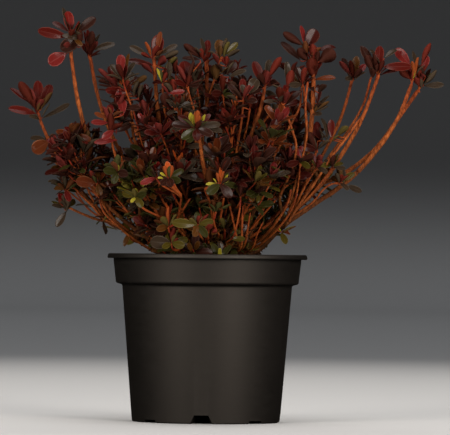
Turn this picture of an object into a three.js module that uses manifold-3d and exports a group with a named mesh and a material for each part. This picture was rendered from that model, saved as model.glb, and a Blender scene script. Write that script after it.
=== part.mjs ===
// Azalea shrub in a black nursery pot, in millimetres, +Z up.
// The origin is the centre of the pot's flat underside. The plant is seen from -Y, with +X to the right.
// The pot, the soil in it, the woody stem base, every bough and every mass of leaves is a solid of its own.
// Boughs end where they enter a mass of leaves, and neighbours keep a small gap between their faces.

import * as THREE from 'three';
import { mergeVertices } from 'three/addons/utils/BufferGeometryUtils.js';
import Module from 'manifold-3d';

const wasm = await Module();
wasm.setup();

// Driving dimensions

const GAP = 0.3; // between the faces of solids that touch

const pot = {
  rimRadius: 100,
  height: 167.5,
  lipHeight: 5,
  lipSlope: 1, // how much further out the lip's lower edge stands than its upper edge
  collarTopRadius: 94,
  collarFootRadius: 91.3,
  collarHeight: 24.5,
  shoulderDrop: 1.6,
  bodyTopRadius: 85,
  baseRadius: 74,
  wall: 2.2,
  floor: 3,
  sides: 36,
};

const notch = {
  count: 8,
  bearing: -3.3, // of the foremost notch, in degrees from the front
  height: 6.5,
  topWidth: 15,
  footWidth: 21,
  depth: 14, // inwards from the outside of the wall
};

const soil = { top: 149, crown: 151.5 };

const stemBase = { x: 4, y: 0, footRadius: 17, neckRadius: 10.5, flareHeight: 12, top: 169 };

const limb = { sides: 6, ringSpacing: 27, leastRings: 3 };

// The tiers of leaf masses round the middle of the crown, from the bottom up. Each is a ring of equal
// ellipsoids before the seeded lumps make them uneven: their count, the ring's radius, the height of
// their centres, their half sizes, and the bearing of the first one.
const crownAxis = { x: 4, y: 0 };
const tiers = [
  { name: 'low', count: 4, radius: 50, height: 203, half: [41, 39, 31], bearing: 40, detail: 2 },
  { name: 'middle', count: 5, radius: 72, height: 246, half: [46, 46, 36], bearing: 3, detail: 3 },
  { name: 'upper', count: 4, radius: 58, height: 297, half: [42, 42, 35], bearing: 48, detail: 2 },
];
const lowestLeaf = 171; // no leaves hang lower than this, just above the rim

// Single masses that stand out of the tiers: where each one's centre is and its half sizes.
const singles = [
  { name: 'top_middle', at: [8, 0, 327], half: [38, 36, 37], detail: 2 },
  { name: 'shoulder_left', at: [-91, -36, 325], half: [25, 30, 43], detail: 2 },
  { name: 'shoulder_right', at: [112, -10, 284], half: [30, 32, 24], detail: 2 },
  { name: 'wing_left', at: [-134, -26, 265], half: [27, 28, 35], detail: 2 },
];

// Tufts of leaves at the ends of long shoots. The first ones are the shoots that make the outline
// from the front. The last ones fill the crown's back and front.
const tufts = [
  { name: 'left_tall', at: [-143, -24, 383], half: [28, 25, 29], detail: 2 },
  { name: 'left_inner', at: [-111, 16, 376], half: [18, 20, 14], detail: 1 },
  { name: 'left_outer', at: [-170, 8, 319], half: [29, 26, 21], detail: 2 },
  { name: 'left_lowest', at: [-143, -14, 210], half: [12, 14, 16], detail: 1 },
  { name: 'top_left', at: [-56, -18, 373], half: [25, 24, 16], detail: 2 },
  { name: 'top_middle', at: [1, 4, 377], half: [27, 24, 12], detail: 2 },
  { name: 'top_right', at: [57, -28, 351], half: [15, 18, 14], detail: 1 },
  { name: 'back_right', at: [82, 64, 344], half: [17, 22, 20], detail: 2 },
  { name: 'right_tall', at: [100, -14, 367], half: [27, 26, 30], detail: 2 },
  { name: 'right_inner', at: [141, 14, 355], half: [11, 16, 12], detail: 1 },
  { name: 'right_outer', at: [175, -20, 361], half: [24, 22, 18], detail: 2 },
  { name: 'right_outermost', at: [212, -4, 355], half: [26, 24, 26], detail: 2 },
  { name: 'back', at: [-20, 160, 338], half: [26, 24, 22], detail: 2 },
  { name: 'back_left', at: [-92, 112, 336], half: [24, 24, 20], detail: 2 },
  { name: 'front', at: [-9, -126, 303], half: [27, 22, 20], detail: 2 },
];

// Boughs and shoots: foot, tip, the radius at each, and the bow, which is the widest distance between
// the limb and the straight line from foot to tip, positive where the limb hangs below that line.
// A limb is trimmed where it would enter leaves. One that has `into` is trimmed only by the mass of
// that name, and the masses that it passes on the way are cut round it.
const boughs = [
  { name: 'bough_front_left', foot: [-2, -8, 160], tip: [-30, -34, 205], radii: [4.4, 3.2], bow: 3 },
  { name: 'bough_front_right', foot: [12, -7, 160], tip: [42, -32, 205], radii: [4.2, 3.1], bow: 3 },
  { name: 'bough_back_left', foot: [-3, 7, 160], tip: [-32, 32, 205], radii: [4.2, 3.1], bow: 3 },
  { name: 'bough_back_right', foot: [10, 8, 160], tip: [40, 34, 205], radii: [4.0, 3.0], bow: 3 },
  { name: 'bough_middle', foot: [4, 0, 160], tip: [6, 0, 310], radii: [4.6, 2.6], bow: -2 },
  { name: 'bough_left_low', foot: [-8, 1, 160], tip: [-118, 8, 219], radii: [3.8, 2.6], bow: 9 },
  { name: 'bough_left_high', foot: [-118.6, 8, 219.8], tip: [-169, 8, 309], radii: [2.6, 1.8], bow: 5 },
  { name: 'bough_left_wing', foot: [-6, -4, 160], tip: [-128, -24, 252], radii: [3.4, 2.2], bow: 15 },
  { name: 'bough_left_lowest', foot: [-96, 7, 198], tip: [-143, -13, 213], radii: [1.9, 1.4], bow: 2 },
  { name: 'bough_right_low', foot: [16, -2, 160], tip: [153, -6, 259.5], radii: [4.0, 2.8], bow: 7 },
  { name: 'bough_right_high', foot: [153.6, -6, 260.4], tip: [203, -5, 344], radii: [2.8, 1.8], bow: 4 },
  { name: 'bough_right_second', foot: [95, 6, 234], tip: [211, 4, 342], radii: [2.4, 1.7], bow: 16 },
  {
    name: 'bough_right_third',
    foot: [15, 5, 160],
    tip: [171, -18, 356],
    radii: [3.6, 1.8],
    bow: 22,
    into: 'tuft_right_outer',
  },
  { name: 'shoot_left_tall', foot: [-122, -24, 288], tip: [-140, -24, 372], radii: [1.9, 1.6], bow: -1 },
  { name: 'shoot_left_inner', foot: [-78, 20, 258], tip: [-120, 15, 371], radii: [1.9, 1.6], bow: 6 },
  { name: 'shoot_top_left', foot: [-47, -20, 292], tip: [-56, -18, 368], radii: [2.1, 1.6], bow: 1 },
  { name: 'shoot_top_middle', foot: [-2, 2, 330], tip: [-2, 3, 376], radii: [2.0, 1.6], bow: 0 },
  { name: 'shoot_top_right', foot: [40, -28, 290], tip: [56, -28, 346], radii: [2.0, 1.5], bow: 2 },
  { name: 'shoot_back_right', foot: [56, 42, 296], tip: [80, 63, 338], radii: [2.0, 1.5], bow: 3 },
  { name: 'shoot_right_tall', foot: [99, -13, 280], tip: [106, -14, 350], radii: [2.3, 1.7], bow: 1 },
  { name: 'shoot_right_inner', foot: [112, 10, 270], tip: [143, 14, 350], radii: [1.9, 1.5], bow: 3 },
  { name: 'shoot_back', foot: [-12, 66, 262], tip: [-20, 158, 330], radii: [2.4, 1.7], bow: 9 },
  { name: 'shoot_back_left', foot: [-56, 56, 278], tip: [-90, 110, 330], radii: [2.1, 1.6], bow: 5 },
  { name: 'shoot_front', foot: [-2, -84, 248], tip: [-9, -124, 296], radii: [2.1, 1.6], bow: 5 },
];

// Finishes

const finishes = {
  pot: { color: 0x262421, roughness: 0.42, metalness: 0 },
  soil: { color: 0x3a2c20, roughness: 0.95, metalness: 0 },
  oldWood: { color: 0x6b4c35, roughness: 0.85, metalness: 0 },
  youngWood: { color: 0xa5582a, roughness: 0.7, metalness: 0 },
  greenLeaves: { color: 0x3f4a2b, roughness: 0.6, metalness: 0 },
  bronzeLeaves: { color: 0x5a3531, roughness: 0.6, metalness: 0 },
  redLeaves: { color: 0x93332c, roughness: 0.6, metalness: 0 },
};

const shrub = new THREE.Group();

/** Adds a solid to the shrub as a mesh of its own, with its own material. */
function add(name, geometry, finish) {
  const mesh = new THREE.Mesh(geometry, new THREE.MeshStandardMaterial({ ...finish, side: THREE.FrontSide }));
  mesh.name = name;
  shrub.add(mesh);
}

// Geometry helpers

/** A seeded random number generator: the same seed gives the same row of numbers from 0 to 1. */
function seeded(seed) {
  let state = seed >>> 0;
  return () => {
    state = (state + 0x6d2b79f5) >>> 0;
    let mixed = Math.imul(state ^ (state >>> 15), state | 1);
    mixed ^= mixed + Math.imul(mixed ^ (mixed >>> 7), mixed | 61);
    return ((mixed ^ (mixed >>> 14)) >>> 0) / 4294967296;
  };
}

/** Merges the shared vertices of a geometry, so that only one closed surface is left. */
function welded(geometry) {
  geometry.deleteAttribute('normal');
  geometry.deleteAttribute('uv');
  return mergeVertices(geometry, 1e-4);
}

/** A closed geometry as a solid that can be cut. */
function solidOf(geometry) {
  const whole = welded(geometry.clone());
  return new wasm.Manifold(
    new wasm.Mesh({
      numProp: 3,
      vertProperties: new Float32Array(whole.getAttribute('position').array),
      triVerts: new Uint32Array(whole.getIndex().array),
    }),
  );
}

/** The largest single body of a solid, as a geometry. */
function geometryOf(solid) {
  const bodies = solid.decompose();
  const body = bodies.reduce((best, next) => (next.volume() > best.volume() ? next : best));
  const { vertProperties, triVerts } = body.getMesh();
  const geometry = new THREE.BufferGeometry();
  geometry.setAttribute('position', new THREE.BufferAttribute(vertProperties, 3));
  geometry.setIndex(new THREE.BufferAttribute(triVerts, 1));
  geometry.computeVertexNormals();
  return geometry;
}

/** A profile of [radius, height] pairs turned round the Z axis. */
function turned(profile, sides) {
  const points = profile.map(([radius, height]) => new THREE.Vector2(radius, height));
  return new THREE.LatheGeometry(points, sides).rotateX(Math.PI / 2);
}

// Pot, soil and stem base

/** The inside of the pot's wall, drawn in by `offset`, as points from the floor up to the collar's foot. */
function insideProfile(offset) {
  const shoulder = pot.height - pot.lipHeight - pot.collarHeight;
  return [
    [pot.baseRadius - pot.wall - offset, pot.floor + offset],
    [pot.bodyTopRadius - pot.wall - offset, shoulder - pot.shoulderDrop],
    [pot.collarFootRadius - pot.wall - offset, shoulder + pot.wall],
  ];
}

/** The pot before its notches: a body that widens upwards, a shoulder, a collar and a lip. */
function potShell() {
  const underLip = pot.height - pot.lipHeight;
  const shoulder = underLip - pot.collarHeight;
  const outside = [
    [0, 0],
    [pot.baseRadius, 0],
    [pot.bodyTopRadius, shoulder - pot.shoulderDrop],
    [pot.collarFootRadius, shoulder],
    [pot.collarTopRadius, underLip],
    [pot.rimRadius, underLip],
    [pot.rimRadius - pot.lipSlope, pot.height],
    [pot.collarTopRadius - pot.wall + 1, pot.height],
  ];
  const inside = [...insideProfile(0)].reverse();
  return solidOf(turned([...outside, ...inside, [0, pot.floor]], pot.sides));
}

/** One drainage notch at the front: a block that narrows upwards and inwards, grown by `grow`. */
function notchBlock(grow) {
  const half = { foot: notch.footWidth / 2 + grow, top: notch.topWidth / 2 + grow };
  const below = 1;
  const outline = new THREE.Shape();
  outline.moveTo(-half.foot, -below);
  outline.lineTo(half.foot, -below);
  outline.lineTo(half.top, notch.height + grow);
  outline.lineTo(-half.top, notch.height + grow);
  outline.closePath();
  const clear = 4; // how far the block stands out in front of the wall
  const length = notch.depth + clear + grow;
  const block = new THREE.ExtrudeGeometry(outline, { depth: length, bevelEnabled: false });
  return block.rotateX(Math.PI / 2).translate(0, -(pot.baseRadius - notch.depth - grow), 0);
}

/** Every notch round the pot's foot, as one solid. */
function notches(grow) {
  const step = (2 * Math.PI) / notch.count;
  const first = THREE.MathUtils.degToRad(notch.bearing);
  const blocks = Array.from({ length: notch.count }, (_, k) => solidOf(notchBlock(grow).rotateZ(first + k * step)));
  return blocks.reduce((all, next) => all.add(next));
}

/** The soil: it fills the pot up to its top, rises a little round the stems and stays out of the notches. */
function soilSolid() {
  const [floorEdge, bodyTop, collarFoot] = insideProfile(GAP);
  const slope = (pot.collarTopRadius - pot.collarFootRadius) / pot.collarHeight;
  const topRadius = collarFoot[0] + slope * (soil.top - collarFoot[1]);
  const profile = [[0, floorEdge[1]], floorEdge, bodyTop, collarFoot, [topRadius, soil.top], [0, soil.crown]];
  return solidOf(turned(profile, pot.sides)).subtract(notches(GAP));
}

/** The short woody crown that all boughs rise from, flared where it meets the soil. */
function stemBaseSolid(grow) {
  const { footRadius, neckRadius, flareHeight, top } = stemBase;
  const foot = soil.crown + GAP - grow;
  const profile = [
    [0, foot],
    [footRadius + grow, foot],
    [(footRadius + neckRadius) / 2 - 1 + grow, foot + flareHeight / 3],
    [neckRadius + grow, foot + flareHeight],
    [neckRadius * 0.6 + grow, top + grow],
    [0, top + grow + 0.8],
  ];
  return solidOf(turned(profile, 12).translate(stemBase.x, stemBase.y, 0));
}

// Boughs

/**
 * A tapering limb, grown by `grow` all round: a cylinder bent along a curve. The curve is a parabola
 * from foot to tip whose middle stands `bow` away from the straight line.
 */
function limbSolid({ foot, tip, radii, bow }, grow = 0) {
  const start = new THREE.Vector3(...foot);
  const end = new THREE.Vector3(...tip);
  const along = end.clone().sub(start).normalize();
  const down = new THREE.Vector3(0, 0, -1);
  down.addScaledVector(along, -down.dot(along));
  const middle = start.clone().lerp(end, 0.5).addScaledVector(down.normalize(), 2 * bow);
  const curve = new THREE.QuadraticBezierCurve3(start, middle, end);
  const rings = Math.max(limb.leastRings, Math.round(start.distanceTo(end) / limb.ringSpacing));
  const frames = curve.computeFrenetFrames(rings);
  const tube = welded(new THREE.CylinderGeometry(radii[1] + grow, radii[0] + grow, 1, limb.sides, rings));
  const place = tube.getAttribute('position');
  for (let k = 0; k < place.count; k += 1) {
    const ring = Math.round((place.getY(k) + 0.5) * rings);
    const centre = curve.getPointAt(ring / rings);
    const longer = { 0: -grow, [rings]: grow }[ring] ?? 0;
    centre.addScaledVector(frames.tangents[ring], longer);
    centre.addScaledVector(frames.normals[ring], place.getX(k));
    centre.addScaledVector(frames.binormals[ring], -place.getZ(k));
    place.setXYZ(k, centre.x, centre.y, centre.z);
  }
  return solidOf(tube);
}

// Masses of leaves

/** How far an ellipsoid's surface is from its centre in a direction. */
function reach(half, direction) {
  return 1 / Math.hypot(direction.x / half[0], direction.y / half[1], direction.z / half[2]);
}

/** Rounded lumps in seeded directions: a smooth function of direction from about 0 to 1. */
function lumps(random) {
  const count = 9;
  const sharpness = 5;
  const peaks = Array.from({ length: count }, () => {
    const height = 2 * random() - 1;
    const bearing = 2 * Math.PI * random();
    const round = Math.sqrt(1 - height * height);
    return new THREE.Vector3(round * Math.cos(bearing), round * Math.sin(bearing), height);
  });
  return (direction) =>
    Math.min(1, peaks.reduce((sum, peak) => sum + Math.exp(sharpness * (direction.dot(peak) - 1)), 0));
}

/**
 * The points of one uneven mass: a lumpy ellipsoid, sized so that its box is exactly its half sizes,
 * then cut back by the flat faces that part it from its neighbours.
 */
function massGeometry(mass, faces, grow) {
  const unevenness = 0.3;
  const lump = lumps(seeded(mass.seed));
  const geometry = welded(new THREE.IcosahedronGeometry(1, mass.detail));
  const place = geometry.getAttribute('position');
  const point = new THREE.Vector3();
  const points = [];
  for (let k = 0; k < place.count; k += 1) {
    point.fromBufferAttribute(place, k).normalize();
    const radius = reach(mass.half, point) * (1 - unevenness + unevenness * lump(point));
    points.push(point.clone().multiplyScalar(radius));
  }
  const box = new THREE.Box3().setFromPoints(points);
  const centre = box.getCenter(new THREE.Vector3());
  const size = box.getSize(new THREE.Vector3());
  const at = new THREE.Vector3(...mass.at);
  points.forEach((p, k) => {
    p.sub(centre);
    p.set((p.x * 2 * mass.half[0]) / size.x, (p.y * 2 * mass.half[1]) / size.y, (p.z * 2 * mass.half[2]) / size.z);
    p.setLength(p.length() + grow);
    for (const { normal, distance } of faces) {
      const past = p.dot(normal);
      if (past > distance + grow) p.multiplyScalar((distance + grow) / past);
    }
    p.add(at);
    place.setXYZ(k, p.x, p.y, p.z);
  });
  return geometry;
}

/**
 * The flat faces that part a mass from its neighbours: each stands square to the line between two
 * centres, halfway through their overlap, and both masses stay half a gap away from it.
 */
function facesBetween(mass, others) {
  const at = new THREE.Vector3(...mass.at);
  const faces = [{ normal: new THREE.Vector3(0, 0, -1), distance: at.z - lowestLeaf }];
  for (const other of others) {
    if (other === mass) continue;
    const normal = new THREE.Vector3(...other.at).sub(at);
    const apart = normal.length();
    if (apart > Math.max(...mass.half) + Math.max(...other.half) + GAP) continue;
    normal.normalize();
    const own = reach(mass.half, normal);
    const theirs = reach(other.half, normal);
    faces.push({ normal, distance: (own + apart - theirs) / 2 - GAP / 2 });
  }
  return faces;
}

/** The masses of every tier, placed round the crown's axis by a loop. */
function tierMasses() {
  return tiers.flatMap((tier) =>
    Array.from({ length: tier.count }, (_, k) => {
      const bearing = THREE.MathUtils.degToRad(tier.bearing + (360 * k) / tier.count);
      const x = crownAxis.x + tier.radius * Math.cos(bearing);
      const y = crownAxis.y + tier.radius * Math.sin(bearing);
      return { name: `leaves_${tier.name}_${k + 1}`, at: [x, y, tier.height], half: tier.half, detail: tier.detail };
    }),
  );
}

const masses = [
  ...tierMasses().map((mass) => ({ ...mass, finish: finishes.greenLeaves })),
  ...singles.map((mass) => ({ ...mass, name: `leaves_${mass.name}`, finish: finishes.bronzeLeaves })),
  ...tufts.map((mass) => ({ ...mass, name: `tuft_${mass.name}`, finish: finishes.redLeaves })),
].map((mass, k) => ({ ...mass, seed: 101 + 17 * k }));

// The shrub is put together from the ground up

const potBody = potShell().subtract(notches(0));
add('pot', geometryOf(potBody), finishes.pot);
add('soil', geometryOf(soilSolid()), finishes.soil);
add('stem_base', geometryOf(stemBaseSolid(0)), finishes.oldWood);

const massFaces = new Map(masses.map((mass) => [mass.name, facesBetween(mass, masses)]));
const massSolids = masses.map((mass) => solidOf(massGeometry(mass, massFaces.get(mass.name), 0)));
const grownMasses = masses.map((mass) => solidOf(massGeometry(mass, massFaces.get(mass.name), GAP)));

let woodSoFar = stemBaseSolid(GAP);
for (const bough of boughs) {
  const ends = grownMasses.filter((_, k) => !bough.into || masses[k].name === bough.into);
  const trimmed = ends.reduce((wood, leaves) => wood.subtract(leaves), limbSolid(bough).subtract(woodSoFar));
  add(bough.name, geometryOf(trimmed), bough.radii[0] > 2.5 ? finishes.oldWood : finishes.youngWood);
  woodSoFar = woodSoFar.add(limbSolid(bough, GAP));
}

masses.forEach((mass, k) => {
  const passing = boughs.filter((bough) => bough.into && bough.into !== mass.name);
  const cut = passing.reduce((leaves, bough) => leaves.subtract(limbSolid(bough, GAP)), massSolids[k]);
  add(mass.name, geometryOf(cut), mass.finish);
});

export default shrub;
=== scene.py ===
"""The looks of a potted azalea shrub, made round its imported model.

Every length is in millimetres until a mesh is made, in the model's own frame: the origin is the
centre of the pot's underside, +Z is up, and the plant is seen from -Y with +X to the right.
The bark follows the model's boughs and shoots. From them a seeded rule grows forks, twigs and heads
of leaves, which take the places of the model's closed masses. The heads and stems that give the
plant its outline from the front are placed one by one, and the rule fills in the rest.
"""

import logging
import sys
from collections.abc import Sequence
from dataclasses import dataclass, field
from enum import Enum

import bpy
import numpy as np
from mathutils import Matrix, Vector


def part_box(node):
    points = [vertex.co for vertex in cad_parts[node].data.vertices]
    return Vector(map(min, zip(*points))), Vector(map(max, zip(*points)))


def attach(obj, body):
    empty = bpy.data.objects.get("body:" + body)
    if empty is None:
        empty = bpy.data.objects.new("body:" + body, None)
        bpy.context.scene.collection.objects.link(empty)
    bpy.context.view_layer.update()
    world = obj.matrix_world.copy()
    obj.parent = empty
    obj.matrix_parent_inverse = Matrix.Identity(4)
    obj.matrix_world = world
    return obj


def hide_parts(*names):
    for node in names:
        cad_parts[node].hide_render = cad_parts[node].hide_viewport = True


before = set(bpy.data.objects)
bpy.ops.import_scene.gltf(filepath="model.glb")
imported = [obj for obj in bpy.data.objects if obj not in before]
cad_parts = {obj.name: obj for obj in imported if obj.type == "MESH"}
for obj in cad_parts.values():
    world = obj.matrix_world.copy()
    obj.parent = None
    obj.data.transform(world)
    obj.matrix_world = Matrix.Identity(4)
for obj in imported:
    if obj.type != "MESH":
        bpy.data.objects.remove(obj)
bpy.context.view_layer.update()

log = logging.getLogger("azalea")

METRE = 0.001
GOLDEN_ANGLE = np.pi * (3 - np.sqrt(5))
UP = np.array([0.0, 0.0, 1.0])
TO_VIEWER = np.array([0.0, -1.0, 0.0])
CROWN_FOOT = np.array([4.0, 0.0, 150.0])
ROOT = "root"

Array = np.ndarray
Pair = tuple[float, float]
Point = tuple[float, float, float]
Colour = tuple[float, float, float]
Socket = bpy.types.NodeSocket
Material = bpy.types.Material


def unit(vectors: Array) -> Array:
    """Scales every vector along the last axis to length one."""
    return vectors / np.maximum(np.linalg.norm(vectors, axis=-1, keepdims=True), 1e-9)


def square_to(vectors: Array, along: Array) -> Array:
    """The parts of vectors square to unit directions, one for each or one for all, at length one."""
    vectors = np.broadcast_to(vectors, np.broadcast_shapes(np.shape(vectors), np.shape(along)))
    return unit(vectors - (vectors * along).sum(-1, keepdims=True) * along)


def linear(red: int, green: int, blue: int) -> Colour:
    """A screen colour of 0 to 255 as the linear colour that shaders take."""
    share = np.array([red, green, blue]) / 255
    light = np.where(share < 0.04045, share / 12.92, ((share + 0.055) / 1.055) ** 2.4)
    return tuple(float(c) for c in light)


def run_along(path: Array) -> Array:
    """The distance from a path's start to each of its points."""
    return np.concatenate([[0], np.cumsum(np.linalg.norm(np.diff(path, axis=0), axis=1))])


def smooth_path(knots: Array, spacing: float) -> Array:
    """A smooth curve through points, sampled at even steps.

    Between each two points it is a Catmull-Rom cubic: the slope at a point is half of the way from
    the point before it to the point after it.

    Args:
        knots: Points to pass through, in order.
        spacing: Rough distance between two samples.

    Returns:
        Points along the curve, ends included.
    """
    whole = np.vstack([2 * knots[0] - knots[1], knots, 2 * knots[-1] - knots[-2]])
    share = np.linspace(0, 1, 24, endpoint=False)[None, :, None]
    a, b, c, d = (whole[k : len(whole) - 3 + k][:, None, :] for k in range(4))
    square, cube = (2 * a - 5 * b + 4 * c - d) * share**2, (3 * b - a - 3 * c + d) * share**3
    curve = 0.5 * (2 * b + (c - a) * share + square + cube)
    fine = np.vstack([curve.reshape(-1, 3), knots[-1:]])
    run = run_along(fine)
    steps = np.linspace(0, run[-1], max(4, int(np.ceil(run[-1] / spacing)) + 1))
    return np.stack([np.interp(steps, run, fine[:, axis]) for axis in range(3)], axis=1)


class Tint(Enum):
    """A spray's colours on screen for blade, edge and underside, and the record's slot. The edge
    colour is a painted highlight: light caught by the hairs on the leaf's margin.
    """

    RED = ((96, 20, 15), (128, 50, 41), (98, 35, 25), "red_leaves")
    ROSE = ((98, 27, 24), (134, 62, 56), (100, 40, 34), "red_leaves")
    BRICK = ((72, 16, 10), (102, 41, 30), (75, 27, 17), "red_leaves")
    DARK_RED = ((62, 14, 9), (90, 40, 30), (66, 24, 16), "red_leaves")
    MAROON = ((52, 15, 10), (78, 41, 32), (60, 29, 21), "bronze_leaves")
    BRONZE = ((84, 35, 13), (110, 64, 36), (86, 47, 24), "bronze_leaves")
    TAN = ((96, 45, 22), (126, 75, 46), (96, 53, 31), "bronze_leaves")
    ORANGE = ((158, 66, 24), (186, 100, 52), (140, 66, 30), "bronze_leaves")
    PLUM = ((43, 21, 15), (68, 46, 38), (57, 36, 27), "bronze_leaves")
    # Dark grey-green leaves whose blade colour also holds a painted sheen, greyed as if lit by gloss.
    GREY = ((50, 39, 29), (77, 65, 52), (68, 56, 43), "green_leaves")
    OLIVE_BROWN = ((74, 43, 14), (96, 66, 34), (80, 54, 28), "green_leaves")
    OLIVE = ((68, 58, 17), (92, 82, 38), (84, 73, 35), "green_leaves")
    GREEN = ((44, 42, 15), (66, 64, 36), (62, 60, 31), "green_leaves")
    LIME = ((150, 138, 38), (180, 170, 80), (136, 126, 50), "green_leaves")


class Side(Enum):
    """Where a placed leaf leans, seen from the front."""

    NEAR = -1
    FAR = 1


# Meshes in the making


@dataclass
class Surface:
    """Points in millimetres, the faces between them, and what each face and point carries.

    Attributes:
        points: One row for each point.
        quads: Point numbers of the four-sided faces.
        tris: Point numbers of the three-sided faces.
        quad_looks: For each four-sided face, which of the piece's finishes it wears.
        tri_looks: The same for each three-sided face.
        age: For each point, 0 in old wood to 1 at the newest growth.
    """

    points: Array
    quads: Array = field(default_factory=lambda: np.zeros((0, 4), int))
    tris: Array = field(default_factory=lambda: np.zeros((0, 3), int))
    quad_looks: Array | None = None
    tri_looks: Array | None = None
    age: Array | None = None

    def __post_init__(self) -> None:
        """Fills in the first finish and no age where none is given."""
        if self.quad_looks is None:
            self.quad_looks = np.zeros(len(self.quads), int)
        if self.tri_looks is None:
            self.tri_looks = np.zeros(len(self.tris), int)
        if self.age is None:
            self.age = np.zeros(len(self.points))

    @staticmethod
    def joined(parts: list["Surface"]) -> "Surface":
        """Several surfaces as one, with their point numbers moved up to match."""
        first = np.cumsum([0] + [len(part.points) for part in parts[:-1]])
        rows = [
            (part.points, part.quads + k, part.tris + k, part.quad_looks, part.tri_looks, part.age)
            for part, k in zip(parts, first)
        ]
        return Surface(*(np.concatenate(column) for column in zip(*rows)))

    def piece(
        self, name: str, finishes: list[Material], slot: str, replaces: list[str], smooth: bool = True
    ) -> bpy.types.Object:
        """Makes the surface a piece of the plant.

        Args:
            name: The piece's name.
            finishes: Materials, in the order that the faces' looks count them.
            slot: The record's material slot. Not used.
            replaces: Names of the model's nodes that the piece stands for.
            smooth: Whether light runs smoothly over the edges between faces.

        Returns:
            The new object, riding on the one body.
        """
        mesh = bpy.data.meshes.new(name)
        corners = np.concatenate([self.quads.ravel(), self.tris.ravel()]).astype(np.int32)
        fours, threes = len(self.quads), len(self.tris)
        starts = np.concatenate([4 * np.arange(fours), 4 * fours + 3 * np.arange(threes)])
        mesh.vertices.add(len(self.points))
        mesh.vertices.foreach_set("co", (self.points * METRE).astype(np.float32).ravel())
        mesh.loops.add(len(corners))
        mesh.loops.foreach_set("vertex_index", corners)
        mesh.polygons.add(len(starts))
        mesh.polygons.foreach_set("loop_start", starts.astype(np.int32))
        looks = np.concatenate([self.quad_looks, self.tri_looks]).astype(np.int32)
        mesh.polygons.foreach_set("material_index", looks)
        mesh.polygons.foreach_set("use_smooth", np.full(len(starts), smooth))
        for finish in finishes:
            mesh.materials.append(finish)
        age = mesh.attributes.new("age", "FLOAT", "POINT")
        age.data.foreach_set("value", self.age.astype(np.float32))
        mesh.update(calc_edges=True)
        mesh.validate()
        piece = bpy.data.objects.new(name, mesh)
        bpy.context.scene.collection.objects.link(piece)
        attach(piece, ROOT)
        if replaces:
            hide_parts(*replaces)
        log.info("%s: %d triangles", name, 2 * fours + threes)
        return piece


def ring_faces(rings: int, sides: int) -> tuple[Array, Array, Array]:
    """The faces of a skin of rings whose points are numbered ring by ring.

    Args:
        rings: Number of rings.
        sides: Points in each ring.

    Returns:
        The four-sided faces between rings, the three-sided ones that close the first ring on the
        point numbered after all rings, and those that close the last ring on the point after that.
    """
    ring, side = np.meshgrid(np.arange(rings - 1), np.arange(sides), indexing="ij")
    here, there = ring * sides + side, ring * sides + (side + 1) % sides
    quads = np.stack([here, there, there + sides, here + sides], axis=-1).reshape(-1, 4)
    rim, onward = np.arange(sides), (np.arange(sides) + 1) % sides
    foot = np.stack([onward, rim, np.full(sides, rings * sides)], axis=-1)
    last = (rings - 1) * sides
    tip = np.stack([last + rim, last + onward, np.full(sides, rings * sides + 1)], axis=-1)
    return quads, foot, tip


def sweep(centres: Array, radii: Array, sides: int, age: Array | None = None) -> Surface:
    """Closed tubes along curves, all at once.

    Each ring's points are centre + radius * (cos(angle) * across + sin(angle) * over), where
    `across` starts out square to the plane that the curve bends in. Both ends close on a point.

    Args:
        centres: Rings' centres, shaped (tubes, rings, 3).
        radii: Radii, shaped (tubes, rings) or (tubes, rings, sides).
        sides: Points round each ring.
        age: Age at each ring, shaped (tubes, rings).

    Returns:
        The tubes as one surface.
    """
    tubes, rings, _ = centres.shape
    along = unit(np.gradient(centres, axis=1))
    chord = unit(centres[:, -1] - centres[:, 0])
    sag = centres[:, rings // 2] - (centres[:, 0] + centres[:, -1]) / 2
    steady = square_to(np.cross(chord, sag) + 1e-3 * square_to(np.array([0.31, 0.86, 0.4]), chord), chord)
    across = square_to(steady[:, None, :], along)
    over = np.cross(along, across)
    angles = np.linspace(0, 2 * np.pi, sides, endpoint=False)
    if radii.ndim == 2:
        radii = np.repeat(radii[:, :, None], sides, axis=2)
    spoke = np.cos(angles)[:, None] * across[:, :, None, :] + np.sin(angles)[:, None] * over[:, :, None, :]
    skin = centres[:, :, None, :] + radii[..., None] * spoke
    points = np.concatenate([skin.reshape(tubes, -1, 3), centres[:, :1], centres[:, -1:]], axis=1)
    quads, foot, tip = ring_faces(rings, sides)
    shift = (rings * sides + 2) * np.arange(tubes)[:, None, None]
    if age is None:
        age = np.zeros((tubes, rings))
    ages = np.concatenate([np.repeat(age, sides, axis=1), age[:, :1], age[:, -1:]], axis=1)
    return Surface(
        points.reshape(-1, 3),
        (quads + shift).reshape(-1, 4),
        (np.vstack([foot, tip]) + shift).reshape(-1, 3),
        age=ages.ravel(),
    )


# Finishes


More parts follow.
